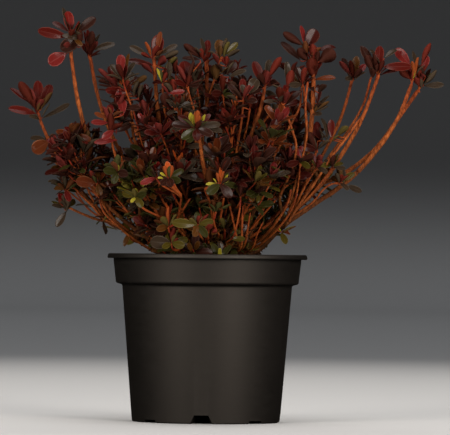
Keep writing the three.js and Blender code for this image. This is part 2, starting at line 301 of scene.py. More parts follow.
@dataclass(frozen=True)
class NodeSheet:
    """A material's nodes, with short ways to add and join them."""

    material: Material

    @staticmethod
    def named(name: str, roughness: float = 0.5, gloss: float = 0.12) -> "NodeSheet":
        """A new material with only its shader and output."""
        material = bpy.data.materials.new(name)
        material.use_nodes = True
        sheet = NodeSheet(material)
        sheet.put("Roughness", roughness)
        sheet.put("Specular IOR Level", gloss)
        return sheet

    @property
    def inputs(self) -> bpy.types.NodeInputs:
        """The inputs of the material's main shader."""
        return self.material.node_tree.nodes["Principled BSDF"].inputs

    def put(self, name: str, value: float | tuple[float, ...]) -> None:
        """Sets one of the shader's inputs to a plain value."""
        self.inputs[name].default_value = value

    def feed(self, name: str, output: Socket) -> None:
        """Links one of the shader's inputs to an output."""
        self.join(output, self.inputs[name])

    def join(self, output: Socket, into: Socket) -> None:
        """Draws a link between two sockets."""
        self.material.node_tree.links.new(output, into)

    def node(self, kind: str, output: str, inputs: dict[str, object], **settings: object) -> Socket:
        """Adds a node.

        Args:
            kind: Its type, without the words that all types start with.
            output: The name of the output that is wanted.
            inputs: For each input by name, a plain value or the output that is linked to it.
            settings: The node's own properties.

        Returns:
            The output.
        """
        node = self.material.node_tree.nodes.new(f"ShaderNode{kind}")
        for name, value in settings.items():
            setattr(node, name, value)
        for name, value in inputs.items():
            if isinstance(value, Socket):
                self.join(value, node.inputs[name])
            else:
                node.inputs[name].default_value = value
        return node.outputs[output]

    def place(self) -> Socket:
        """Each point's place in the piece's own coordinates."""
        return self.node("TexCoord", "Object", {})

    def noise(self, scale: float, detail: float = 3, stretch: Point = (1, 1, 1)) -> Socket:
        """Smooth random values from 0 to 1, finer as the scale grows."""
        there = self.node("Mapping", "Vector", {"Vector": self.place(), "Scale": stretch})
        return self.node("TexNoise", "Fac", {"Vector": there, "Scale": scale, "Detail": detail})

    def ramp(self, value: Socket, stops: Sequence[tuple[float, Colour]]) -> Socket:
        """Turns a value into a colour by stops from 0 to 1."""
        ramp = self.node("ValToRGB", "Color", {"Fac": value})
        first, last = ramp.node.color_ramp.elements
        first.position, first.color = stops[0][0], (*stops[0][1], 1)
        last.position, last.color = stops[-1][0], (*stops[-1][1], 1)
        for position, colour in stops[1:-1]:
            ramp.node.color_ramp.elements.new(position).color = (*colour, 1)
        return ramp

    def blend(self, share: Socket | float, under: Socket, over: Socket | tuple, kind: str = "MIX") -> Socket:
        """Lays a colour over another by a share, or multiplies them."""
        inputs = {"Factor": share, "A": under, "B": over}
        return self.node("Mix", "Result", inputs, data_type="RGBA", blend_type=kind)

    def range(self, value: Socket, to: Pair, between: Pair = (0, 1), kind: str = "LINEAR") -> Socket:
        """Turns a value's run between two limits into a run from one value to another."""
        limits = dict(zip(("From Min", "From Max", "To Min", "To Max"), (*between, *to)))
        return self.node("MapRange", "Result", {"Value": value, **limits}, interpolation_type=kind)

    def bump(self, height: Socket, depth: float, strength: float = 1.0) -> None:
        """Raises the surface by a height of 0 to 1 times a depth."""
        inputs = {"Height": height, "Distance": depth * METRE, "Strength": strength}
        self.feed("Normal", self.node("Bump", "Normal", inputs))


@dataclass(frozen=True)
class PlainFinish:
    """One plain colour of leaf, thin young wood or painted shade, with a low gloss."""

    name: str
    colour: Colour
    roughness: float = 0.55
    gloss: float = 0.12

    def material(self) -> Material:
        """The finish as a material."""
        sheet = NodeSheet.named(self.name, self.roughness, self.gloss)
        sheet.put("Base Color", (*self.colour, 1))
        return sheet.material


@dataclass(frozen=True)
class BarkFinish:
    """Bark that goes from grey-brown old wood to the rust and red of new shoots."""

    stops: tuple[tuple[float, Colour], ...] = (
        (0.0, linear(68, 46, 30)), (0.25, linear(100, 60, 29)), (0.5, linear(138, 75, 33)),
        (0.75, linear(176, 96, 44)), (1.0, linear(164, 76, 36)),
    )
    streak_scale: float = 900
    patch_scale: float = 160
    roughness: Pair = (0.5, 0.8)
    crack: float = 0.12

    def material(self) -> Material:
        """The finish as a material: colour by age, streaks along the limb, and fine cracks."""
        sheet = NodeSheet.named("azalea_bark")
        colour = sheet.ramp(sheet.node("Attribute", "Fac", {}, attribute_name="age"), self.stops)
        streaks = sheet.noise(self.streak_scale, 4, (1, 1, 0.22))
        dark = sheet.ramp(streaks, [(0.32, linear(150, 140, 132)), (0.62, linear(255, 250, 245))])
        soft = sheet.noise(self.patch_scale, 2)
        patches = sheet.ramp(soft, [(0.35, linear(205, 196, 190)), (0.65, (1, 1, 1))])
        streaked = sheet.blend(1.0, colour, dark, "MULTIPLY")
        sheet.feed("Base Color", sheet.blend(1.0, streaked, patches, "MULTIPLY"))
        sheet.feed("Roughness", sheet.range(streaks, self.roughness))
        sheet.bump(streaks, self.crack)
        return sheet.material


@dataclass(frozen=True)
class PotFinish:
    """Satin black nursery plastic with fine scuffs, faint flow marks and a little dust."""

    black: Colour = linear(10, 9, 8)
    grey: Colour = linear(15, 13, 12)
    dust: Colour = linear(78, 70, 62)
    most_dust: float = 0.14
    warm: Colour = (1.0, 0.9, 0.8)
    gloss: float = 0.68
    roughness: Pair = (0.5, 0.66)

    def material(self) -> Material:
        """The finish as a material."""
        sheet = NodeSheet.named("black_pot_plastic", gloss=self.gloss)
        base = sheet.ramp(sheet.noise(14, 4, (1, 1, 0.3)), [(0.35, self.black), (0.7, self.grey)])
        dusty = sheet.ramp(sheet.noise(700, 2), [(0.62, (0, 0, 0)), (0.8, (self.most_dust,) * 3)])
        sheet.feed("Base Color", sheet.blend(dusty, base, (*self.dust, 1)))
        sheet.feed("Roughness", sheet.range(sheet.noise(60, 5, (1, 1, 3.5)), self.roughness))
        sheet.put("Specular Tint", (*self.warm, 1))
        sheet.bump(sheet.noise(1500, 2), 0.05, 0.5)
        return sheet.material


@dataclass(frozen=True)
class MixFinish:
    """Moist potting mix or bark chips: dark crumbs of several browns."""

    name: str
    dark: Colour
    light: Colour
    scale: float
    roughness: Pair = (0.75, 0.98)
    crumb: float = 1.2

    def material(self) -> Material:
        """The finish as a material."""
        sheet = NodeSheet.named(self.name, gloss=0.3)
        crumbs = sheet.noise(self.scale, 5)
        sheet.feed("Base Color", sheet.ramp(crumbs, [(0.32, self.dark), (0.7, self.light)]))
        sheet.feed("Roughness", sheet.range(crumbs, self.roughness))
        sheet.bump(crumbs, self.crumb)
        return sheet.material


# The pot and what is in it


def rounded_profile(corners: list[Point], steps: int = 4) -> Array:
    """A profile whose corners are rounded off.

    Each corner is replaced by a curve that starts and ends at its rounding's distance along the two
    straight lines: the square-law blend (1-t)^2 * before + 2t(1-t) * corner + t^2 * after.

    Args:
        corners: Radius, height and rounding of each corner. A rounding of 0 keeps it sharp.
        steps: Steps along each rounded corner.

    Returns:
        Radius and height of each point of the profile.
    """
    place = np.array([corner[:2] for corner in corners], float)
    points = [place[:1]]
    for k in range(1, len(corners) - 1):
        back, on = place[k - 1] - place[k], place[k + 1] - place[k]
        room = min(corners[k][2], 0.45 * np.linalg.norm(back), 0.45 * np.linalg.norm(on))
        if room <= 0:
            points.append(place[k : k + 1])
            continue
        before, after = place[k] + unit(back) * room, place[k] + unit(on) * room
        t = np.linspace(0, 1, steps + 1)[:, None]
        points.append((1 - t) ** 2 * before + 2 * t * (1 - t) * place[k] + t**2 * after)
    points.append(place[-1:])
    return np.concatenate(points)


@dataclass(frozen=True)
class NurseryPot:
    """A round black pot: a tapered body, a collar, a rolled lip and drainage notches round its foot."""

    base_radius: float = 74
    body_top_radius: float = 85
    shoulder: float = 138
    collar_foot_radius: float = 91.3
    collar_top_radius: float = 94
    lip_foot: float = 162.5
    rim_radius: float = 100
    top: float = 167.5
    wall: float = 2.2
    inner_floor: float = 11.5
    notch_count: int = 8
    notch_bearing: float = -3.3
    notch_height: float = 8.6
    notch_top: float = 13.6
    notch_foot: float = 22
    notch_depth: float = 30
    low_notch_height: float = 3.0
    low_notch_share: float = 0.78
    steps_between: int = 14
    side_width: float = 0.04

    @property
    def lean(self) -> float:
        """How much the body widens for each millimetre of height."""
        return (self.body_top_radius - self.base_radius) / self.shoulder

    def profile(self) -> Array:
        """Radius and height from the underside's middle, over the rim, to the middle of the floor."""
        inner_rim = self.collar_top_radius - self.wall + 1
        base, body, collar_foot = self.base_radius, self.body_top_radius, self.collar_foot_radius
        collar, rim, lip, floor = self.collar_top_radius, self.rim_radius, self.lip_foot, self.inner_floor
        corners = [
            (0, 1.2, 0), (22, 1.2, 1), (24, 0.0, 1), (base - self.notch_depth - 3, 0.0, 1), (base, 0.0, 1.4),
            (base + self.lean * self.notch_height, self.notch_height, 0),
            (body - 0.3, self.shoulder - 5, 1), (body, self.shoulder - 1.6, 1.6),
            (collar_foot, self.shoulder, 1.8), (collar_foot + 0.4, self.shoulder + 4, 2),
            (collar - 0.2, lip - 2.2, 1), (collar, lip + 0.4, 0.8),
            (rim - 0.6, lip, 0.9), (rim, lip + 1.4, 1.0), (rim - 0.9, self.top - 0.2, 1.2),
            (collar + 2.2, self.top, 1.2), (inner_rim + 0.6, self.top - 1.2, 1.2), (inner_rim, lip - 3, 1.5),
            (collar_foot - self.wall, self.shoulder + self.wall, 1.5),
            (body - self.wall, self.shoulder - 1.6, 1.5),
            (base - self.wall, floor + 1, 1.5), (base - 10, floor, 1), (0, floor, 0),
        ]
        return rounded_profile(corners)

    def surface(self) -> Surface:
        """The whole pot.

        A point's place is its profile's radius and height turned by its bearing. Inside a notch the
        outer wall's radius is drawn in by the notch's depth. The columns bunch up at a notch's sides,
        which lean in as they rise. Every second notch is lower and narrower. The faces deep inside a
        notch wear the second finish, a near-black painted shade.
        """
        rows = self.profile()
        step = np.linalg.norm(np.diff(rows, axis=0), axis=1)
        rows = rows[np.concatenate([[True], step > 1e-6])]
        tops = [(self.base_radius + self.lean * z, z) for z in (self.low_notch_height, self.notch_height)]
        low_brow, brow = np.array(tops)
        nudge = np.array([0.01, 0.05])
        at = int(np.argmin(np.abs(rows - brow).sum(1)))
        edges = [low_brow - nudge, low_brow + nudge, brow - nudge, brow + nudge]
        rows = np.vstack([rows[:at], *edges, rows[at + 1 :]])
        radius, height = rows[:, 0], rows[:, 1]
        rise = np.clip(height / self.notch_height, 0, 1)
        half_width = (self.notch_foot + (self.notch_top - self.notch_foot) * rise) / 2
        steep = self.side_width
        inside = np.array([-1 - steep, -1 + steep, -0.5, 0, 0.5, 1 - steep, 1 + steep])
        between = np.linspace(0, 1, self.steps_between + 1)[1:-1]
        number = np.arange(self.notch_count)
        share = np.where(number % 2 == 0, 1, self.low_notch_share)
        half_angle = half_width[:, None] / self.base_radius * share
        start = half_angle * (1 + steep)
        pitch = 2 * np.pi / self.notch_count
        gap = pitch - start - np.roll(start, -1, axis=1)
        within = half_angle[..., None] * inside
        beyond = start[..., None] + gap[..., None] * between
        sector = np.concatenate([within, beyond], axis=2)
        first = np.radians(self.notch_bearing - 90)
        bearings = (first + pitch * number[:, None] + sector).reshape(len(rows), -1)
        cut = np.concatenate([np.abs(inside) < 1, np.zeros(len(between), bool)])
        low = np.repeat(share < 1, sector.shape[2])
        order = np.arange(len(rows))[:, None]
        deepest = self.base_radius - self.notch_depth - 2
        outer = (radius[:, None] > deepest) & (order <= at + 2)
        open_here = outer & np.tile(cut, self.notch_count) & ((order <= at) | ~low)
        drawn_in = np.where(open_here, self.notch_depth, 0)
        reach = np.maximum(radius[:, None] - drawn_in, np.where(outer, deepest, 0))
        tall = np.broadcast_to(height[:, None], reach.shape)
        points = np.stack([reach * np.cos(bearings), reach * np.sin(bearings), tall], axis=-1)[1:-1]
        flat = np.concatenate([points.reshape(-1, 3), [[0, 0, height[0]], [0, 0, height[-1]]]])
        quads, underside, floor = ring_faces(*points.shape[:2])
        recessed = open_here[1:-1]
        # Faces deep inside a notch get the near-black painted shade, standing in for the shadow in the
        # recess.
        painted_shade_faces = recessed[:-1] & recessed[1:] & (recessed & np.roll(recessed, -1, axis=1))[:-1]
        return Surface(flat, quads, np.vstack([underside, floor]), painted_shade_faces.astype(int).ravel())

    def build(self) -> None:
        """Makes the pot and gives it its finish."""
        # A near-black, glossless painted shade for the faces deep inside the notches.
        shade = PlainFinish("shade_in_notches", linear(5, 4, 4), 1.0, 0.0).material()
        pot = self.surface().piece("nursery_pot", [PotFinish().material(), shade], "pot_plastic", ["pot"])
        pot.data.set_sharp_from_angle(angle=np.radians(38))


@dataclass(frozen=True)
class PottingMix:
    """The potting mix: an uneven top with bark chips on it."""

    radius: float = 90.2
    top: float = 149.5
    foot: float = 138.6
    rings: int = 40
    columns: int = 96
    rise: float = 2.2
    lump: float = 0.84
    chips: int = 420
    chip_reach: float = 86
    seed: int = 11

    def height(self, x: Array, y: Array) -> Array:
        """The top's height: a gentle rise to the middle and the sum of a few waves in several directions."""
        waves = (
            np.sin(0.19 * x + 0.11 * y + 1) * np.sin(0.13 * y - 0.07 * x)
            + 0.6 * np.sin(0.41 * x - 0.33 * y + 2) * np.sin(0.37 * y + 0.2 * x)
            + 0.4 * np.sin(0.9 * x + 0.5 * y) * np.sin(0.8 * y - 0.6 * x + 1)
        )
        return self.top + self.rise * (1 - (x**2 + y**2) / self.radius**2) + self.lump * waves

    def bed(self) -> Surface:
        """A closed disc with an uneven top: rings of points out from the middle, then down its side."""
        share = np.linspace(0, 1, self.rings + 1)[1:]
        bearing = np.linspace(0, 2 * np.pi, self.columns, endpoint=False)
        x, y = (share[:, None] * self.radius * f(bearing) for f in (np.cos, np.sin))
        top = np.stack([x, y, self.height(x, y)], axis=-1)
        side = np.stack([x[-1] * 0.995, y[-1] * 0.995, np.full(self.columns, self.foot)], axis=-1)[None]
        grid = np.concatenate([top, side])
        flat = np.concatenate([grid.reshape(-1, 3), [[0, 0, self.height(0, 0)], [0, 0, self.foot]]])
        quads, middle, under = ring_faces(len(grid), self.columns)
        return Surface(flat, quads[:, [0, 3, 2, 1]], np.vstack([middle, under])[:, [1, 0, 2]])

    def bark_chips(self) -> Surface:
        """Flat, uneven chips strewn over the top, each a short six-sided sweep squashed and turned."""
        rng = np.random.default_rng(self.seed)
        reach = self.chip_reach * np.sqrt(rng.uniform(0.02, 1, self.chips))
        bearing = rng.uniform(0, 2 * np.pi, self.chips)
        x, y = reach * np.cos(bearing), reach * np.sin(bearing)
        middle = np.stack([x, y, self.height(x, y) + 0.4], axis=-1)
        turn = rng.uniform(0, 2 * np.pi, self.chips)
        tilt = rng.uniform(-0.35, 0.35, self.chips)
        way = np.stack([np.cos(turn) * np.cos(tilt), np.sin(turn) * np.cos(tilt), np.sin(tilt)], axis=-1)
        length = rng.uniform(3, 11, self.chips)
        share = np.array([-0.5, -0.32, 0.05, 0.36, 0.5])
        centres = middle[:, None, :] + length[:, None, None] * share[None, :, None] * way[:, None, :]
        width = rng.uniform(0.7, 2.1, self.chips)
        radii = width[:, None, None] * np.array([0.35, 0.9, 1, 0.85, 0.3])[None, :, None]
        radii = radii * rng.uniform(0.55, 1.25, (self.chips, 5, 6))
        return sweep(centres, radii, 6)

    def build(self) -> None:
        """Makes the bed and the chips and gives them their finishes."""
        crumbs = MixFinish("potting_mix", linear(30, 22, 16), linear(78, 56, 38), 420)
        self.bed().piece("potting_mix_top", [crumbs.material()], "potting_mix", ["soil"])
        bark = MixFinish("bark_chip", linear(44, 30, 20), linear(112, 76, 48), 300)
        self.bark_chips().piece("bark_chips", [bark.material()], "potting_mix", [], smooth=False)


# Wood


@dataclass(frozen=True)
class Limb:
    """A bough or shoot of the model: a parabola from foot to tip, and what it goes on to.

    Attributes:
        node: The model's node that it replaces.
        foot: Where it starts.
        tip: Where the model's limb would end if no leaves cut it short.
        radii: Radius at foot and tip.
        bow: How far its middle hangs below the straight line.
        ages: Age of the wood at foot and tip.
        onward: Further points that it passes before its last head of leaves.
    """

    node: str
    foot: Point
    tip: Point
    radii: Pair
    bow: float
    ages: Pair
    onward: tuple[Point, ...] = ()

    def path(self, spacing: float) -> Array:
        """Points along (1-t)^2 * foot + 2t(1-t) * middle + t^2 * tip, then on through its last points."""
        foot, tip = np.array(self.foot, float), np.array(self.tip, float)
        middle = (foot + tip) / 2 + 2 * self.bow * square_to(-UP, unit(tip - foot))
        t = np.linspace(0, 1, 9)[:, None]
        knots = (1 - t) ** 2 * foot + 2 * t * (1 - t) * middle + t**2 * tip
        if self.onward:
            knots = np.vstack([knots, np.array(self.onward, float)])
        return smooth_path(knots, spacing)


@dataclass(frozen=True)
class Stem:
    """A long bare stem inside the crown, from its foot to its head of leaves.

    Attributes:
        radii: Radius at foot and tip.
        knots: Points that it passes.
        hidden: The share of its length, from the foot, that leaves may stand before.
    """

    radii: Pair
    knots: tuple[Point, ...]
    hidden: float = 1.0

    def path(self, spacing: float) -> Array:
        """Points along the stem, which runs smoothly through its knots."""
        return smooth_path(np.array(self.knots, float), spacing)


@dataclass
class Bark:
    """Bark relief on limbs: rings where growth stopped, scars where leaves fell, and shallow ribs."""

    sides: int = 12
    spacing: float = 2.2
    scar_pitch: float = 8.5
    seed: int = 23

    def relief(self, run: Array, radius: Array, rng: np.random.Generator) -> Array:
        """How far the bark stands out at each ring and side, in millimetres.

        It is the sum of ribs (a low wave round the limb that slowly winds), rings (a narrow hump at
        each year's end), knobs (a hump at each fallen leaf's place) and a slow uneven swelling.
        """
        angle = np.linspace(0, 2 * np.pi, self.sides, endpoint=False)[None, :]
        along = run[:, None]
        ribs = 0.035 * np.sin(3 * angle + 0.05 * along + rng.uniform(0, 6))
        ribs = ribs + 0.02 * np.sin(5 * angle - 0.09 * along)
        swelling = 0.05 * np.sin(along * 0.11 + rng.uniform(0, 6))
        swelling = swelling + 0.035 * np.sin(along * 0.31 + rng.uniform(0, 6))
        out = radius[:, None] * (ribs + swelling)
        for stop in np.arange(rng.uniform(20, 45), run[-1], rng.uniform(42, 60)):
            out += 0.28 * np.exp(-(((along - stop) / 1.5) ** 2))
        for k, place in enumerate(np.arange(3, run[-1], self.scar_pitch)):
            off = (angle - k * GOLDEN_ANGLE + np.pi) % (2 * np.pi) - np.pi
            out += 0.26 * np.exp(-(((along - place) / 1.3) ** 2) - (off / 0.55) ** 2)
        return out

    def limb(self, path: Array, radii: Pair, ages: Pair, seed: int) -> Surface:
        """A limb's bark along its path.

        Args:
            path: Points along the limb.
            radii: Radius at foot and tip.
            ages: Age of the wood at foot and tip.
            seed: Seed of this limb's own unevenness.

        Returns:
            The limb as a closed surface.
        """
        rng = np.random.default_rng(self.seed + seed)
        run = run_along(path)
        share = run / run[-1]
        radius = radii[0] + (radii[1] - radii[0]) * share**0.8
        rounded = radius * np.sqrt(np.clip(1 - np.clip((share - 0.985) / 0.015, 0, 1) ** 2, 0.15, 1))
        wander = 0.22 * np.stack([np.sin(run * 0.09 + p) for p in rng.uniform(0, 6, 3)], axis=1)
        wander *= np.minimum(1, np.minimum(run, run[-1] - run) / 12)[:, None]
        age = ages[0] + (ages[1] - ages[0]) * share
        fade = np.sin(np.pi * np.clip(share, 0.01, 0.99))[:, None] ** 0.2
        rings = rounded[:, None] + self.relief(run, radius, rng) * fade
        return sweep((path + wander)[None], rings[None], self.sides, age[None])


@dataclass(frozen=True)
class StemBase:
    """The short woody crown that the boughs rise from, with a flared, knotty foot."""

    x: float = 4
    y: float = 0
    foot: float = 149.5
    top: float = 170
    foot_radius: float = 16.5
    neck_radius: float = 10
    sides: int = 40
    rings: int = 26

    def surface(self) -> Surface:
        """Rings whose radius shrinks from foot to neck, closes over the top and swells into knots."""
        share = np.linspace(0, 1, self.rings)
        body = self.neck_radius + (self.foot_radius - self.neck_radius) * (1 - share) ** 2.4
        dome = np.sqrt(np.clip(1 - np.clip((share - 0.72) / 0.28, 0, 1) ** 2, 0.02, 1))
        angle = np.linspace(0, 2 * np.pi, self.sides, endpoint=False)
        knots = (
            0.10 * np.sin(5 * angle + 1.0)[None, :] * (1.2 - share)[:, None]
            + 0.06 * np.sin(9 * angle[None, :] + 7 * share[:, None])
            + 0.04 * np.sin(3 * angle[None, :] - 11 * share[:, None])
        )
        radii = (body * dome)[:, None] * (1 + knots)
        still = np.ones(self.rings)
        height = self.foot + (self.top - self.foot) * share
        centres = np.stack([self.x * still, self.y * still, height], axis=-1)
        return sweep(centres[None], radii[None], self.sides, 0.1 * share[None])


@dataclass
class Sprouts:
    """Twigs in the making: smooth stretches between two points, each with its own thickness and age."""

    rows: list[tuple] = field(default_factory=list)
    rings: int = 10
    sides: int = 6

    LOOK_AGES = (0.35, 0.55, 0.75, 0.92)

    def add(
        self, start: Array, leave: Array, end: Array, arrive: Array, radii: Pair, ages: Pair
    ) -> None:
        """Adds one stretch from start to end that leaves and arrives in the given directions."""
        self.rows.append((start, leave, end, arrive, radii, ages))

    def surface(self) -> Surface:
        """All stretches as tubes.

        Each centre line is the cubic (2t^3-3t^2+1) * start + (t^3-2t^2+t) * slope at the start
        + (3t^2-2t^3) * end + (t^3-t^2) * slope at the end, with slopes as long as the stretch.
        """
        start, leave, end, arrive, radii, ages = (np.array(column) for column in zip(*self.rows))
        start, end = start[:, None], end[:, None]
        length = np.linalg.norm(end - start, axis=-1, keepdims=True)
        out, into = 0.9 * length * unit(leave)[:, None], 0.9 * length * unit(arrive)[:, None]
        t = np.linspace(0, 1, self.rings)[None, :, None]
        first = (2 * t**3 - 3 * t**2 + 1) * start + (t**3 - 2 * t**2 + t) * out
        centres = first + (3 * t**2 - 2 * t**3) * end + (t**3 - t**2) * into
        share = t[..., 0]
        thick = radii[:, :1] + (radii[:, 1:] - radii[:, :1]) * share
        wave = 1 + 0.06 * np.sin(17 * share + np.arange(len(radii))[:, None])
        tubes = sweep(centres, thick * wave, self.sides, ages[:, :1] + (ages[:, 1:] - ages[:, :1]) * share)
        tubes.quad_looks = np.digitize(tubes.age[tubes.quads[:, 0]], self.LOOK_AGES)
        tubes.tri_looks = np.digitize(tubes.age[tubes.tris[:, 0]], self.LOOK_AGES)
        return tubes


# Leaves


@dataclass
class Blades:
    """Leaves in the making. Each has its base and tip, the way its upper face looks, and its form."""

    rows: list[tuple] = field(default_factory=list)

    STATIONS = np.array([0.06, 0.25, 0.48, 0.71, 0.88, 0.97])
    HALF_WIDTHS = np.array([0.13, 0.60, 0.95, 1.00, 0.74, 0.36])
    COLUMNS = np.array([-1.0, -0.86, -0.06, 0.06, 0.86, 1.0])
    FOLD = np.radians(17)
    FLATTEST = 0.02

    def add(self, base: Array, tip: Array, face: Array, width: float, curl: float, twist: float) -> None:
        """Adds a leaf. Curl and twist are angles from base to tip; a positive curl bends the tip back."""
        self.rows.append((base, tip, face, width, curl, twist))

    def surface(self) -> Surface:
        """All leaves as closed blades with a rib, a painted-highlight edge and an underside.

        A leaf's middle line is an arc of a circle from base to tip. Across it, the upper face folds
        up to both sides like a shallow V, and the underside is a low keel. The half width along the
        leaf follows STATIONS and HALF_WIDTHS, and both ends close on a point.
        """
        base, tip, face, *form = (np.array(column) for column in zip(*self.rows))
        width, curl, twist = (value.astype(float)[:, None] for value in form)
        count = len(base)
        chord = np.linalg.norm(tip - base, axis=1, keepdims=True)
        way = (tip - base) / chord
        face = square_to(face, way)
        curl = np.where(np.abs(curl) < self.FLATTEST, self.FLATTEST, curl)
        out = np.cos(curl / 2) * way + np.sin(curl / 2) * face
        up = -np.sin(curl / 2) * way + np.cos(curl / 2) * face
        arc = chord * (curl / 2) / np.sin(curl / 2)
        s = self.STATIONS[None, :]
        forward, back = np.sin(curl * s) / curl * arc, (1 - np.cos(curl * s)) / curl * arc
        line = base[:, None] + forward[..., None] * out[:, None] - back[..., None] * up[:, None]
        lift = np.sin(curl * s)[..., None] * out[:, None] + np.cos(curl * s)[..., None] * up[:, None]
        side = np.cross(out, up)[:, None] * np.ones((1, len(self.STATIONS), 1))
        turn = (twist * s)[..., None]
        side, lift = np.cos(turn) * side + np.sin(turn) * lift, np.cos(turn) * lift - np.sin(turn) * side
        half = width / 2 * self.HALF_WIDTHS[None, :]
        a = self.COLUMNS[None, None, :]
        wave = np.sin(9 * s[..., None] + a * 2 + np.arange(count)[:, None, None])
        ripple = 0.035 * width[:, :, None] * wave * np.abs(a)
        sideways = half[..., None] * a * np.cos(self.FOLD)
        rise = half[..., None] * (np.abs(a) * np.sin(self.FOLD) - 0.10 * a**2) + ripple
        top = line[:, :, None] + sideways[..., None] * side[:, :, None] + rise[..., None] * lift[:, :, None]
        keel = line - (0.22 + 0.06 * half)[..., None] * lift
        rows = np.concatenate([top, keel[:, :, None]], axis=2)
        points = np.concatenate([rows.reshape(count, -1, 3), base[:, None], tip[:, None]], axis=1)
        quads, quad_looks, tris, tri_looks = self.pattern()
        shift = points.shape[1] * np.arange(count)[:, None, None]
        return Surface(
            points.reshape(-1, 3),
            (quads + shift).reshape(-1, 4),
            (tris + shift).reshape(-1, 3),
            np.tile(quad_looks, count),
            np.tile(tri_looks, count),
        )

    def pattern(self) -> tuple[Array, Array, Array, Array]:
        """The faces of one leaf and their looks: 0 blade, 1 rib, 2 edge in a painted highlight, 3 underside.
        """
        rows, columns = len(self.STATIONS), len(self.COLUMNS) + 1
        base, tip = rows * columns, rows * columns + 1
        keel, right = columns - 1, columns - 2
        last = (rows - 1) * columns
        strips = [2, 0, 1, 0, 2]
        quads, tris = [], []
        for a in range(0, last, columns):
            b = a + columns
            quads += [(a + j, a + j + 1, b + j + 1, b + j) for j in range(len(strips))]
            quads += [(a, b, b + keel, a + keel), (a + keel, b + keel, b + right, a + right)]
        for j in range(len(strips)):
            tris += [(base, j + 1, j), (last + j, last + j + 1, tip)]
        tris += [(base, 0, keel), (base, keel, right)]
        tris += [(last, tip, last + keel), (last + keel, tip, last + right)]
        quad_looks = np.tile([*strips, 3, 3], rows - 1)
        return np.array(quads), quad_looks, np.array(tris), np.array([*np.repeat(strips, 2), 3, 3, 3, 3])


@dataclass(frozen=True)
class Leaf:
    """A placed leaf, as seen from the front.

    Attributes:
        right, up: Where its tip stands from its head's place.
        width: How wide it looks.
        tint: Its colour.
        curl: How far it bends back from base to tip, as an angle.
        base_right, base_up: Where its base stands from its head's place.
        side: Whether it leans to the viewer or away.
    """

    right: float
    up: float
    width: float
    tint: Tint
    curl: float = 0.1
    base_right: float = 0
    base_up: float = 0
    side: Side = Side.NEAR


@dataclass(frozen=True)
class Head:
    """A head of leaves at the end of a twig.

    Attributes:
        at: Its place.
        axis: The way that its twig points.
        leaves: Leaves placed one by one, or none where the growing rule deals them out.
        hanging: Whether its leaves hang straight from a bough, with no twig of their own.
        mood: For a grown head, how high in the crown its colours are chosen, from 0 to 1.
        size: For a grown head, its leaves' size.
    """

    at: Point
    axis: Point = (0, 0, 1)
    leaves: tuple[Leaf, ...] = ()
    hanging: bool = False
    mood: float = 0.5
    size: float = 1.0


def far(
    right: float, up: float, width: float, tint: Tint,
    curl: float = 0.1, base_right: float = 0, base_up: float = 0,
) -> tuple:
    """The values of a Leaf that leans away from the viewer."""
    return right, up, width, tint, curl, base_right, base_up, Side.FAR


def head(at: Point, *leaves: tuple, hanging: bool = False) -> Head:
    """A head whose leaves are placed one by one, each given as a Leaf's values."""
    return Head(at, leaves=tuple(Leaf(*leaf) for leaf in leaves), hanging=hanging)


RED, ROSE, BRICK, DARK_RED, MAROON = Tint.RED, Tint.ROSE, Tint.BRICK, Tint.DARK_RED, Tint.MAROON
BRONZE, TAN, ORANGE, PLUM, GREY = Tint.BRONZE, Tint.TAN, Tint.ORANGE, Tint.PLUM, Tint.GREY
OLIVE_BROWN, OLIVE, GREEN, LIME = Tint.OLIVE_BROWN, Tint.OLIVE, Tint.GREEN, Tint.LIME

